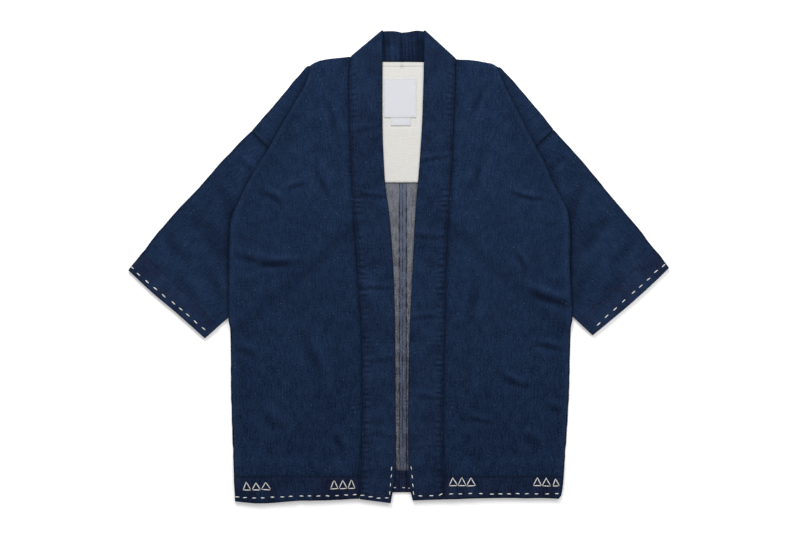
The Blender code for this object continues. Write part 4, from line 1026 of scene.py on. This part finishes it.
def make_label(node, box, material):
    """A blank label with a turned-in rim."""
    left, low, right, high = box
    x, y = np.meshgrid(np.linspace(right, left, 40), np.linspace(high, low, int((high - low) * 0.8)))
    rim = np.minimum(np.minimum(x - left, right - x), np.minimum(y - low, high - y))
    wavy = 0.3 * hills(x, y, 9.0, 81) * np.exp(-(rim / 2.0) ** 2)
    relief = 0.12 + 0.1 * hills(x, y, 17.0, 82) - 0.22 * np.exp(-((rim - 2.2) / 0.8) ** 2)
    grid = np.dstack([x + wavy, y + wavy, np.full_like(x, LABEL_LOW + LABEL_THICK / 2)])
    # Painted shadow under the label's lower edge and painted shade at its turned-in rim
    painted_label_shadow = np.exp(-((y - low) / 1.1) ** 2) * 0.4
    marks = {"wrong": (0.0, 0.0), "hem": 0.25 * np.exp(-(rim / 1.0) ** 2) + painted_label_shadow, "tone": 0.5}
    above = LABEL_THICK / 2 + np.clip(relief, -0.15, 0.4)
    piece = cloth_shell(node + "_cloth", grid, above, LABEL_THICK / 2, np.dstack([x, y]) * MM, marks, material)
    finish_panel(piece, node)
    return piece


class Thread:
    """Collects short pieces of twisted thread and joins them into one mesh."""

    def __init__(self):
        self.points, self.faces = [], []
        self.count = 0

    def stitch(self, start, end, z0, z1, radius, rise=0.35, rings=7, sides=6):
        """One stitch from start to end that sinks into the cloth at both ends."""
        start, end = np.array(start, float), np.array(end, float)
        length = np.linalg.norm(end - start)
        along = (end - start) / length
        across = np.array([-along[1], along[0]])
        t = np.linspace(0.0, 1.0, rings)[:, None]
        swell = np.sqrt(np.clip(np.sin(math.pi * np.clip(t * 0.96 + 0.02, 0, 1)), 0.0, 1.0))
        angle = np.linspace(0.0, 2 * math.pi, sides, endpoint=False)[None, :]
        ply = 1.0 + 0.14 * np.cos(2 * angle + t * length * 2.2)
        out, up = radius * swell * ply * np.cos(angle), 0.62 * radius * swell * ply * np.sin(angle)
        xy = start + along * length * t
        x = xy[:, :1] + across[0] * out
        y = xy[:, 1:] + across[1] * out
        height = blend(z0, z1, t) + radius * (rise * np.sin(math.pi * t) - 0.05) + up
        self.points.append(np.stack([x, y, height], -1).reshape(-1, 3))
        ring = np.arange(sides)
        turn = (ring + 1) % sides
        for low in range(self.count, self.count + (rings - 1) * sides, sides):
            high = low + sides
            self.faces.extend(np.stack([low + ring, low + turn, high + turn, high + ring], 1).tolist())
        self.faces.append((ring[::-1] + self.count).tolist())
        self.faces.append((ring + (rings - 1) * sides + self.count).tolist())
        self.count += rings * sides

    def build(self, name, material):
        """Joins the stitches into one piece that rides on the garment's body."""
        mesh = bpy.data.meshes.new(name)
        mesh.from_pydata((np.concatenate(self.points) * MM).tolist(), [], self.faces)
        mesh.validate()
        mesh.update()
        mesh.materials.append(material)
        mesh.shade_smooth()
        piece = bpy.data.objects.new(name, mesh)
        bpy.context.scene.collection.objects.link(piece)
        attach(piece, "root")
        return piece


def front_top(side, x, y):
    """Top face of the front at a place."""
    return float(side.front_height(x, y)) + DENIM / 2


def sleeve_top(side, x, y):
    """Top face of the sleeve at a place."""
    at, section = sleeve_sections(side)
    top = np.array([section["top_x"], section["top_y"]]).T
    low = np.array([section["low_x"], section["low_y"]]).T
    spot = np.array([x, y])
    across = top - low
    reach = spot - low
    off = (reach[:, 0] * across[:, 1] - reach[:, 1] * across[:, 0]) / np.linalg.norm(across, axis=1)
    k = int(np.argmin(np.abs(off)))
    share = float(np.dot(reach[k], across[k]) / np.dot(across[k], across[k]))
    from_cuff = at[-1] - at[k]
    relief = float(sleeve_relief(side, x, y, from_cuff, at[k], share))
    return float(sleeve_roof(side, x, y, from_cuff)) + relief + DENIM / 2


def running_line(thread, line, height, pitch, length, radius, seed):
    """Even machine stitches along a line of points; height gives the cloth's top face."""
    line = np.array(line, float)
    reach = np.concatenate([[0.0], np.cumsum(np.linalg.norm(np.diff(line, axis=0), axis=1))])
    random = np.random.RandomState(seed)
    at = pitch / 2
    while at + length < reach[-1]:
        start = [np.interp(at, reach, line[:, k]) for k in range(2)]
        end = [np.interp(at + length, reach, line[:, k]) for k in range(2)]
        sway = random.uniform(-0.12, 0.12, 2)
        thread.stitch(
            [start[0] + sway[0], start[1]], [end[0] + sway[1], end[1]],
            height(*start), height(*end), radius, rings=3, sides=4,
        )
        at += pitch * random.uniform(0.94, 1.06)


# White running stitches by hand: the middle of each dash
HEM_DASHES = (
    (-289.4, -414.0), (-275.6, -415.3), (-259.0, -416.0), (-243.7, -415.8), (-226.1, -414.4), (-208.4, -414.0),
    (-193.0, -412.9), (-173.9, -412.4), (-159.5, -412.2), (-143.5, -412.4), (-126.9, -412.2), (-110.0, -411.7),
    (-93.6, -410.6), (-78.3, -409.9), (-64.6, -411.1), (-49.7, -413.8), (-35.3, -416.2), (-20.7, -415.8),
    (39.8, -412.2), (59.4, -411.8), (76.1, -409.7), (94.9, -408.6), (111.4, -408.6), (129.1, -407.7),
    (148.5, -408.1), (168.1, -409.0), (183.6, -408.6), (199.1, -408.6), (214.6, -408.1), (230.9, -408.4),
    (248.2, -408.6), (267.7, -408.6), (284.9, -408.2),
)
EDGE_DASHES = (
    (-12.2, -363.4), (-12.6, -376.6), (-14.0, -392.4), (-15.3, -407.0),
    (23.4, -362.3), (25.0, -377.8), (26.3, -393.3), (27.4, -407.3),
)
BACK_HEM_DASHES = ((-6.4, -397.8), (9.7, -397.8), (20.2, -398.6))
CUFF_DASHES_LEFT = (
    (-478.3, -2.0), (-466.9, -14.2), (-451.3, -27.4), (-436.5, -39.8), (-421.4, -52.7), (-403.9, -65.7),
    (-390.6, -76.7), (-378.0, -87.3), (-364.3, -99.9), (-349.6, -111.8),
)
CUFF_DASHES_RIGHT = (
    (360.0, -103.5), (374.2, -89.5), (389.5, -76.5), (405.0, -61.9), (422.5, -46.6), (435.6, -35.5),
    (449.6, -22.9), (463.0, -9.0), (476.6, 1.4),
)
DASH_LENGTH = 7.4
DASH_RADIUS = 0.95
CUFF_DASH_LENGTH = 8.6
CUFF_DASH_TURN = math.radians(40.5)
# The dash that climbs from the band to the front, and its slope
STEP_DASH_X = 76.1
STEP_DASH_TURN = 0.5
# Small triangles: the left end, the right end, the base and the apex of each
TRIANGLES = (
    (-279.4, -264.8, -401.6, -387.5), (-262.6, -247.5, -401.4, -388.3), (-245.9, -229.3, -401.0, -386.8),
    (-122.2, -107.5, -399.4, -384.7), (-106.4, -92.0, -399.1, -383.6), (-90.9, -76.9, -398.7, -383.9),
    (91.3, 106.0, -393.8, -378.9), (107.1, 121.9, -393.7, -378.5), (122.9, 138.8, -394.0, -379.3),
    (242.8, 257.2, -393.7, -378.9), (258.7, 273.4, -394.4, -379.6), (277.4, 289.1, -394.4, -381.1),
)


def band_top(side, x, y):
    """Top face of the band near its stitch line."""
    climb = float(ease((y - BAND_TURN_Y) / BAND_TURN_EASE))
    return blend(float(band_rest(side, x, y)) + BAND, BAND * 2 + REST_GAP, climb) - 0.55


def lower_top(side, x, y):
    """Top face at a place low on a front: the band inside its seam, else the front."""
    if side.sign * (x - float(side.panel_seam_x(y))) > 0:
        return front_top(side, x, y)
    return float(band_rest(side, x, y)) + BAND + 0.1


def add_dash(thread, x, y, turn, length, height, random, radius=DASH_RADIUS):
    """One white dash about a middle point, a little uneven as hand stitches are."""
    turn += math.radians(random.uniform(-5.0, 5.0))
    half = length * random.uniform(0.46, 0.54)
    dx, dy = half * math.cos(turn), half * math.sin(turn)
    ends = ((x - dx, y - dy), (x + dx, y + dy))
    radius *= random.uniform(0.9, 1.1)
    thread.stitch(*ends, height(*ends[0]), height(*ends[1]), radius, sides=8, rings=9)


def side_of(x):
    """The side of the coat that a place lies on."""
    return LEFT if x < CENTRE_X else RIGHT


def make_dashes(material):
    """The white dashes along the hem, the front edges, the back hem and the cuffs."""
    thread = Thread()
    random = np.random.RandomState(5)
    for x, y in HEM_DASHES:
        slope = STEP_DASH_TURN if x == STEP_DASH_X else 0.0
        add_dash(thread, x, y, slope, DASH_LENGTH, lambda a, b: lower_top(side_of(x), a, b), random)
    for x, y in EDGE_DASHES:
        lean = math.pi / 2 + math.radians(8.0 if x > CENTRE_X else -6.0)
        add_dash(thread, x, y, lean, DASH_LENGTH * 0.9, lambda a, b: lower_top(side_of(x), a, b), random, 0.8)
    for x, y in BACK_HEM_DASHES:
        add_dash(thread, x, y, 0.0, DASH_LENGTH * 0.7, lambda a, b: DENIM + HEM_EXTRA + 0.25, random, 0.7)
    for side, dashes in ((LEFT, CUFF_DASHES_LEFT), (RIGHT, CUFF_DASHES_RIGHT)):
        turn = side.sign * CUFF_DASH_TURN
        for x, y in dashes:
            add_dash(thread, x, y, turn, CUFF_DASH_LENGTH, lambda a, b: sleeve_top(side, a, b), random)
    return thread.build("white_running_stitches", material)


def make_triangles(material):
    """The rows of small sewn triangles above the hem, three stitches each."""
    thread = Thread()
    random = np.random.RandomState(8)
    for x0, x1, base, apex in TRIANGLES:
        side = side_of(x0)
        left, right = (x0, base), (x1, base)
        top = ((x0 + x1) / 2 - 0.4, apex)
        for start, end, over in ((left, top, 0.6), (top, right, 0.9), (left, right, 0.3)):
            middle = ((start[0] + end[0]) / 2, (start[1] + end[1]) / 2)
            turn = math.atan2(end[1] - start[1], end[0] - start[0])
            length = math.hypot(end[0] - start[0], end[1] - start[1]) * 0.98
            add_dash(thread, *middle, turn, length, lambda a, b: lower_top(side, a, b) + over, random, 0.85)
    return thread.build("white_triangle_stitches", material)


def make_topstitch(material):
    """The tonal machine stitching: hems, side and armhole fells, cuffs, bands and the centre back."""
    thread = Thread()
    fine = dict(pitch=3.4, length=2.5, radius=0.34)
    for side in SIDES:
        sign = side.sign
        top_face = lambda a, b, s=side: front_top(s, a, b)
        seam_x = float(side.panel_seam_x(FRONT_HEM_LINE_Y))
        edge_x = float(side.edge_x(FRONT_HEM_LINE_Y))
        xs = np.linspace(seam_x + sign * 2.0, edge_x - sign * 4.0, 30)
        running_line(thread, [(x, FRONT_HEM_LINE_Y) for x in xs], top_face, seed=91, **fine)
        for inset, seed in ((4.2, 92), (12.6, 93)):
            ys = np.linspace(side.armpit_y - 30.0, FRONT_HEM_LINE_Y, 60)
            line = [(float(side.edge_x(y)) - sign * inset, y) for y in ys]
            running_line(thread, line, top_face, seed=seed, **fine)
        top, low = np.array(side.root_top), np.array(side.root_low)
        along = (low - top) / np.linalg.norm(low - top)
        inward = np.array([-sign * abs(along[1]), abs(along[0])])
        wing_top = lambda a, b, s=side: float(wing_surface(s, a, b)) + DENIM / 2
        for inset, seed in ((2.2, 94), (8.8, 95)):
            ends = (top + along * 5.0 + inward * inset, top + along * 46.0 + inward * inset)
            running_line(thread, ends, wing_top, seed=seed, **fine)
        cuff_top = np.array([side.sleeve["top_x"][-1], side.sleeve["top_y"][-1]])
        cuff_low = np.array(side.cuff_low)
        across = (cuff_top - cuff_low) / np.linalg.norm(cuff_top - cuff_low)
        back = np.array([-sign * abs(across[1]), abs(across[0])]) * CUFF_HEM
        ends = (cuff_low + across * 4.0 + back, cuff_top - across * 4.0 + back)
        running_line(thread, ends, lambda a, b, s=side: sleeve_top(s, a, b), seed=96, **fine)
        ys = np.linspace(340.0, -414.0, 200)
        line = [(float(side.panel_seam_x(y)) - sign * 4.4, y) for y in ys]
        running_line(thread, line, lambda a, b, s=side: band_top(s, a, b), seed=89, **fine)
    back_top = DENIM + SEAM_EXTRA + 0.12
    for x, seed in ((CENTRE_X - 4.8, 97), (CENTRE_X + 4.8, 98)):
        running_line(thread, [(x, 138.0), (x, BACK_HEM_Y + 3.0)], lambda a, b: back_top, seed=seed, **fine)
    hem_line = [(-12.0, BACK_HEM_LINE_Y - 3.0), (30.0, BACK_HEM_LINE_Y - 3.0)]
    running_line(thread, hem_line, lambda a, b: DENIM + HEM_EXTRA + 0.2, seed=99, **fine)
    return thread.build("tonal_topstitching", material)


def make_label_stitches(material):
    """White stitches that hold the lining's top edge and the labels."""
    thread = Thread()
    plain = dict(pitch=3.0, length=2.2, radius=0.3)
    top = LABEL_LOW + LABEL_THICK
    for left, low, right, high in (LABEL_MAIN_BOX, LABEL_SMALL_BOX):
        inset = 2.2
        corners = [(left + inset, low + inset), (right - inset, low + inset), (right - inset, high - inset)]
        corners += [(left + inset, high - inset), (left + inset, low + inset)]
        running_line(thread, corners, lambda a, b: top, seed=101, **plain)
    lining_line = [(-60.0, LINING_BOX[3] - 7.0), (80.0, LINING_BOX[3] - 7.0)]
    running_line(thread, lining_line, lambda a, b: LINING_MID + CANVAS / 2 + 0.1, seed=102, **plain)
    return thread.build("lining_stitches", material)


def linear(value):
    """An sRGB hex colour as linear red, green and blue."""
    channels = [int(value[k:k + 2], 16) / 255.0 for k in (1, 3, 5)]
    return tuple(c / 12.92 if c <= 0.04045 else ((c + 0.055) / 1.055) ** 2.4 for c in channels)


# Kinds of node: type, settings, the sockets that values fill in turn, and the output that is used
KINDS = {
    "multiply": ("ShaderNodeMath", {"operation": "MULTIPLY"}, (0, 1), 0),
    "add": ("ShaderNodeMath", {"operation": "ADD"}, (0, 1), 0),
    "subtract": ("ShaderNodeMath", {"operation": "SUBTRACT"}, (0, 1), 0),
    "least": ("ShaderNodeMath", {"operation": "MINIMUM"}, (0, 1), 0),
    "mix": ("ShaderNodeMix", {"data_type": "RGBA"}, (0, 6, 7), 2),
    "uv": ("ShaderNodeUVMap", {"uv_map": "cloth"}, (), 0),
    "mark": ("ShaderNodeAttribute", {}, (), "Fac"),
    "place": ("ShaderNodeTexCoord", {}, (), "Object"),
    "stretch": ("ShaderNodeMapping", {}, ("Vector", "Scale"), 0),
    "turn": ("ShaderNodeMapping", {}, ("Vector", "Rotation"), 0),
    "noise": ("ShaderNodeTexNoise", {"noise_dimensions": "2D"}, ("Vector", "Scale", "Detail"), "Fac"),
    "specks": ("ShaderNodeTexNoise", {}, ("Vector", "Scale"), "Fac"),
    "wave": ("ShaderNodeTexWave", {"wave_type": "BANDS"}, ("Vector", "Scale", "Distortion", "Detail"), "Fac"),
    "spread": ("ShaderNodeMapRange", {}, ("Value", "From Min", "From Max"), 0),
    "range": ("ShaderNodeMapRange", {}, ("Value", "To Min", "To Max"), 0),
    "bump": ("ShaderNodeBump", {}, ("Height", "Strength", "Distance"), 0),
}


def add_node(tree, kind, *values, **settings):
    """Adds a node of a kind, fills its sockets with links, hex colours or numbers, and gives its output."""
    type_name, defaults, sockets, output = KINDS[kind]
    node = tree.nodes.new(type_name)
    for key, value in {**defaults, **settings}.items():
        setattr(node, key, value)
    for key, value in zip(sockets, values):
        if isinstance(value, bpy.types.NodeSocket):
            tree.links.new(value, node.inputs[key])
        elif isinstance(value, str):
            node.inputs[key].default_value = (*linear(value), 1.0)
        else:
            node.inputs[key].default_value = value
    return node.outputs[output]


def new_material(name, roughness, sheen=0.0, specular=0.25):
    """A material with a Principled shader whose constants are set on its own sockets."""
    material = bpy.data.materials.new(name)
    material.use_nodes = True
    tree = material.node_tree
    shader = tree.nodes["Principled BSDF"]
    shader.inputs["Roughness"].default_value = roughness
    shader.inputs["IOR"].default_value = 1.45
    shader.inputs["Specular IOR Level"].default_value = specular
    shader.inputs["Sheen Weight"].default_value = sheen
    shader.inputs["Sheen Roughness"].default_value = 0.5
    return material, tree, shader


def streaks(add, uv, across_mm, along_mm, detail=2.0):
    """Noise drawn out along the warp: its grain across and along the cloth, in millimetres."""
    scaled = add("stretch", uv, (1000.0 / across_mm, 1000.0 / along_mm, 1.0))
    return add("noise", scaled, 1.0, detail)


def twill(add, uv, pitch_mm):
    """Diagonal twill lines of a given pitch; the wave repeats each tenth of pi at scale 1."""
    turned = add("turn", uv, (0.0, 0.0, math.radians(27.0)))
    return add("wave", turned, 100.0 * math.pi / pitch_mm / 2.0, 1.2, 1.0)


def denim_material(name, colours):
    """Indigo twill denim, rinsed: dark grainy warp over a hidden pale weft, matt, with a pale wrong side."""
    material, tree, shader = new_material(name, 0.9, sheen=0.02, specular=0.05)
    add = partial(add_node, tree)
    uv = add("uv")
    marks = ("wrong", "hem", "tone", "seam", "turned", "worn", "deep", "fell")
    mark = {key: add("mark", attribute_name=key) for key in marks}
    # Warp yarns are near 0.5 mm; they are drawn about five times as coarse so that they show in the render
    grain = add("spread", streaks(add, uv, 2.5, 3.3, 2.0), 0.36, 0.64)
    warp = add("spread", streaks(add, uv, 2.8, 20.0, 1.0), 0.38, 0.62)
    cloud = add("spread", streaks(add, uv, 17.0, 22.0, 2.0), 0.30, 0.70)
    patch = add("spread", streaks(add, uv, 95.0, 120.0, 2.0), 0.36, 0.66)
    nep = add("spread", streaks(add, uv, 3.6, 3.6, 0.0), 0.945, 0.975)
    # Twill lines are near 1.2 mm apart on real denim; they are drawn four times as coarse
    rib = twill(add, uv, 4.8)
    yarn = add("add", add("multiply", grain, 0.50), add("multiply", warp, 0.26))
    yarn = add("add", yarn, add("multiply", cloud, 0.24))
    # Lighter where the cloth is raised: wear on ridges, and a painted highlight on ridges and fold edges
    worn = add("least", add("multiply", mark["worn"], 0.30), 0.34)
    # The mark "deep" is painted shade in creases, hollows, along edges and under seams
    deep = add("least", add("multiply", mark["deep"], 0.5), 0.7)
    face = add("mix", yarn, colours.denim_dark, colours.denim_light)
    face = add("mix", add("multiply", patch, 0.16), face, colours.denim_deep)
    face = add("mix", add("multiply", mark["tone"], 0.26), face, colours.denim_slub)
    hem = add("mix", yarn, colours.hem_dark, colours.hem_light)
    face = add("mix", add("multiply", mark["hem"], 0.92), face, hem)
    face = add("mix", worn, face, colours.denim_slub)
    # The mark "seam" is painted shade along seams and at the folded edge of the back's hem
    face = add("mix", add("multiply", mark["seam"], 0.5), face, colours.denim_deep)
    face = add("mix", deep, face, colours.denim_deep)
    face = add("mix", add("multiply", nep, 0.40), face, colours.nep)
    pepper = add("add", add("multiply", grain, 0.6), add("multiply", warp, 0.4))
    wrong = add("mix", pepper, colours.wrong_dark, colours.wrong_light)
    wrong = add("mix", add("multiply", mark["tone"], 0.42), wrong, colours.wrong_pale)
    wrong = add("mix", add("multiply", mark["fell"], 0.42), wrong, colours.denim_slub)
    # Painted shade on the wrong side under the band's seam and in the fell's lines
    painted_wrong_side_shade = add("least", add("multiply", mark["deep"], 0.75), 0.85)
    wrong = add("mix", painted_wrong_side_shade, wrong, colours.denim_deep)
    is_wrong = add("multiply", mark["wrong"], add("subtract", 1.0, mark["turned"]))
    tree.links.new(add("mix", is_wrong, face, wrong), shader.inputs["Base Color"])
    relief = add("add", add("multiply", yarn, 0.75), add("multiply", rib, 0.25))
    tree.links.new(add("range", relief, 0.95, 0.84), shader.inputs["Roughness"])
    tree.links.new(add("bump", relief, 0.5, 0.0006), shader.inputs["Normal"])
    return material


def woven_material(name, light, dark, edge, pitch_mm, roughness):
    """Plain-woven cotton: crossed yarns of a given pitch, with its cut or stitched rim in another tone: painted
    shade, and dark frayed threads at a cut rim.
    """
    material, tree, shader = new_material(name, roughness, sheen=0.08)
    add = partial(add_node, tree)
    uv = add("uv")
    rim = add("mark", attribute_name="hem")
    tone = add("mark", attribute_name="tone")
    warp = add("spread", streaks(add, uv, pitch_mm, pitch_mm * 12.0), 0.34, 0.66)
    weft = add("spread", streaks(add, uv, pitch_mm * 12.0, pitch_mm), 0.34, 0.66)
    yarn = add("multiply", add("add", warp, weft), 0.5)
    colour = add("mix", yarn, dark, light)
    colour = add("mix", add("multiply", tone, 0.12), colour, light)
    # The rim mark is painted shade at edges and stitch lines
    colour = add("mix", add("multiply", rim, 0.75), colour, edge)
    tree.links.new(colour, shader.inputs["Base Color"])
    tree.links.new(add("bump", yarn, 0.3, 0.0004), shader.inputs["Normal"])
    return material


def thread_material(name, light, dark, roughness):
    """Plied cotton thread: fine slanting plies that catch the light."""
    material, tree, shader = new_material(name, roughness, sheen=0.2)
    add = partial(add_node, tree)
    plies = add("wave", add("place"), 160.0, 2.0, bands_direction="DIAGONAL")
    tree.links.new(add("mix", plies, dark, light), shader.inputs["Base Color"])
    tree.links.new(add("bump", plies, 0.4, 0.0003), shader.inputs["Normal"])
    return material


def paper_material(name, colour):
    """Matt white studio paper with the faintest grain."""
    material, tree, shader = new_material(name, 0.9)
    add = partial(add_node, tree)
    grain = add("multiply", add("specks", add("place"), 40.0), 0.02)
    tree.links.new(add("mix", grain, colour, "#F2F2F2"), shader.inputs["Base Color"])
    # A little light of its own, as paper that is lit from behind
    shader.inputs["Emission Color"].default_value = (1.0, 1.0, 1.0, 1.0)
    shader.inputs["Emission Strength"].default_value = 0.22
    return material


def material_for(kind):
    """Makes each material once and finds it again by name."""
    colours = bpy.context.scene.coat_colours
    if kind in bpy.data.materials:
        return bpy.data.materials[kind]
    if kind == "indigo_denim":
        return denim_material(kind, colours)
    # The third colour of the canvas and the label tape is their painted shade at rims, edges and stitch lines
    if kind == "cotton_canvas":
        return woven_material(kind, colours.lining, "#D2D1CC", "#6E6C69", 1.5, 0.85)
    if kind == "woven_label_tape":
        return woven_material(kind, colours.label, "#D3D5DB", "#AFB1B6", 0.9, 0.6)
    if kind == "white_cotton_thread":
        return thread_material(kind, "#F4F3F0", "#CFCDC9", 0.55)
    if kind == "navy_polyester_thread":
        return thread_material(kind, "#1B2340", "#0A0F20", 0.8)
    return paper_material(kind, colours.paper)


def colour_property(name, description, default):
    """A colour that the user can change, as an sRGB hex value."""
    return StringProperty(name=name, description=description, default=default)


class CoatColours(bpy.types.PropertyGroup):
    """Colours as sRGB hex values."""

    denim_dark: colour_property("Denim dark", "Dark yarns of the denim's right side", "#061126")
    denim_light: colour_property("Denim light", "Light yarns of the denim's right side", "#1F324F")
    # Denim slub is also the colour of the painted highlight on raised cloth
    denim_slub: colour_property("Denim slub", "Thick pale yarns and faded cloth", "#2E4366")
    # Denim deep is also the colour of the painted shade in creases, hollows, along seams and edges
    denim_deep: colour_property("Denim deep", "Deep patches, creases and seam lines", "#060D1C")
    hem_dark: colour_property("Hem dark", "Dark yarns of hems and cuffs", "#0D1223")
    hem_light: colour_property("Hem light", "Light yarns of hems and cuffs", "#222944")
    nep: colour_property("Nep", "Small white knots of undyed cotton", "#8C99B4")
    wrong_dark: colour_property("Wrong side dark", "Dark yarns of the denim's wrong side", "#343842")
    wrong_light: colour_property("Wrong side light", "Light yarns of the denim's wrong side", "#7A7A80")
    wrong_pale: colour_property("Wrong side pale", "Pale weft of the denim's wrong side", "#7E828C")
    lining: colour_property("Lining", "Canvas of the yoke lining", "#DBDAD6")
    label: colour_property("Label", "Tape of the blank labels", "#D2D4DA")
    paper: colour_property("Paper", "Studio paper under the coat", "#FFFFFF")


class CoatLight(bpy.types.PropertyGroup):
    """The studio's light."""

    key: FloatProperty(name="Key light", description="Power of the large soft lamp", default=88.0, unit="POWER")
    fill: FloatProperty(name="Fill light", description="Strength of the even light from all round", default=0.41)
    distance: FloatProperty(
        name="Lamp distance", description="Distance of the lamps from the coat", default=3.4, unit="LENGTH",
    )


class COAT_OT_backs(bpy.types.Operator):
    """Makes the two back halves"""

    bl_idname = "coat.backs"
    bl_label = "Back halves"

    def execute(self, context):
        for side in SIDES:
            make_back(side, material_for("indigo_denim"))
        return {"FINISHED"}


class COAT_OT_fronts(bpy.types.Operator):
    """Makes the two fronts with their pleats"""

    bl_idname = "coat.fronts"
    bl_label = "Fronts"

    def execute(self, context):
        for side in SIDES:
            make_front(side, material_for("indigo_denim"))
        return {"FINISHED"}


class COAT_OT_sleeves(bpy.types.Operator):
    """Makes the two sleeves"""

    bl_idname = "coat.sleeves"
    bl_label = "Sleeves"

    def execute(self, context):
        for side in SIDES:
            make_sleeve(side, material_for("indigo_denim"))
        return {"FINISHED"}


class COAT_OT_collar(bpy.types.Operator):
    """Makes the two halves of the collar band"""

    bl_idname = "coat.collar"
    bl_label = "Collar band"

    def execute(self, context):
        for side in SIDES:
            make_collar(side, material_for("indigo_denim"))
        return {"FINISHED"}


class COAT_OT_lining(bpy.types.Operator):
    """Makes the yoke lining and the two blank labels"""

    bl_idname = "coat.lining"
    bl_label = "Lining and labels"

    def execute(self, context):
        make_lining(material_for("cotton_canvas"))
        tape = material_for("woven_label_tape")
        make_label("label_main", LABEL_MAIN_BOX, tape)
        make_label("label_small", LABEL_SMALL_BOX, tape)
        return {"FINISHED"}


class COAT_OT_stitches(bpy.types.Operator):
    """Makes the white hand stitches, the small triangles and the machine stitching"""

    bl_idname = "coat.stitches"
    bl_label = "Stitches"

    def execute(self, context):
        white = material_for("white_cotton_thread")
        make_dashes(white)
        make_triangles(white)
        make_label_stitches(white)
        make_topstitch(material_for("navy_polyester_thread"))
        return {"FINISHED"}


class COAT_OT_stage(bpy.types.Operator):
    """Makes the white floor, the soft lamps and the camera straight above"""

    bl_idname = "coat.stage"
    bl_label = "Stage and camera"

    def execute(self, context):
        scene = context.scene
        light = scene.coat_light
        bpy.ops.object.select_all(action="DESELECT")
        bpy.ops.mesh.primitive_plane_add(size=12.0, location=(0.0, 0.0, -0.0002))
        floor = context.active_object
        floor.name = "floor"
        floor.data.materials.append(material_for("studio_paper"))
        world = scene.world or bpy.data.worlds.new("studio")
        scene.world = world
        world.use_nodes = True
        background = world.node_tree.nodes["Background"]
        background.inputs["Color"].default_value = (1.0, 1.0, 1.0, 1.0)
        background.inputs["Strength"].default_value = light.fill
        for place, size, share in (((-0.5, 1.9, 1.3), 1.5, 1.0), ((1.2, 1.2, 1.6), 1.5, 0.35)):
            spot = np.array(place) / np.linalg.norm(place) * light.distance
            bpy.ops.object.light_add(type="AREA", location=spot)
            lamp = context.active_object
            lamp.data.shape = "DISK"
            lamp.data.size = size
            lamp.data.energy = light.key * share
            lamp.rotation_mode = "QUATERNION"
            lamp.rotation_quaternion = lamp.location.to_track_quat("Z", "Y")
        data = bpy.data.cameras.new("camera")
        data.sensor_width = SENSOR
        data.lens = SENSOR * VIEW_HEIGHT / VIEW_WIDTH
        camera = bpy.data.objects.new("camera", data)
        scene.collection.objects.link(camera)
        camera.location = (VIEW_CENTRE[0] * MM, VIEW_CENTRE[1] * MM, VIEW_HEIGHT * MM)
        scene.camera = camera
        scene.view_settings.view_transform = "Standard"
        return {"FINISHED"}


class COAT_PT_panel(bpy.types.Panel):
    """Lists the coat's colours, light and parts"""

    bl_label = "Kimono Coat"
    bl_idname = "COAT_PT_panel"
    bl_space_type = "VIEW_3D"
    bl_region_type = "UI"
    bl_category = "Coat"

    def draw(self, context):
        for group in (context.scene.coat_colours, context.scene.coat_light):
            for key in group.__annotations__:
                self.layout.prop(group, key)
        for operator in OPERATORS:
            self.layout.operator(operator.bl_idname)


OPERATORS = (
    COAT_OT_stage, COAT_OT_backs, COAT_OT_lining, COAT_OT_sleeves, COAT_OT_fronts, COAT_OT_collar,
    COAT_OT_stitches,
)
CLASSES = (CoatColours, CoatLight, *OPERATORS, COAT_PT_panel)


def register():
    """Registers the classes and hangs the coat's settings on the scene."""
    for cls in CLASSES:
        bpy.utils.register_class(cls)
    bpy.types.Scene.coat_colours = PointerProperty(type=CoatColours)
    bpy.types.Scene.coat_light = PointerProperty(type=CoatLight)


def unregister():
    """Takes the settings and classes away again."""
    del bpy.types.Scene.coat_light
    del bpy.types.Scene.coat_colours
    for cls in reversed(CLASSES):
        bpy.utils.unregister_class(cls)


def main():
    """Makes the stage and every piece."""
    register()
    bpy.ops.coat.stage()
    bpy.ops.coat.backs()
    bpy.ops.coat.lining()
    bpy.ops.coat.sleeves()
    bpy.ops.coat.fronts()
    bpy.ops.coat.collar()
    bpy.ops.coat.stitches()


if __name__ == "__main__":
    main()
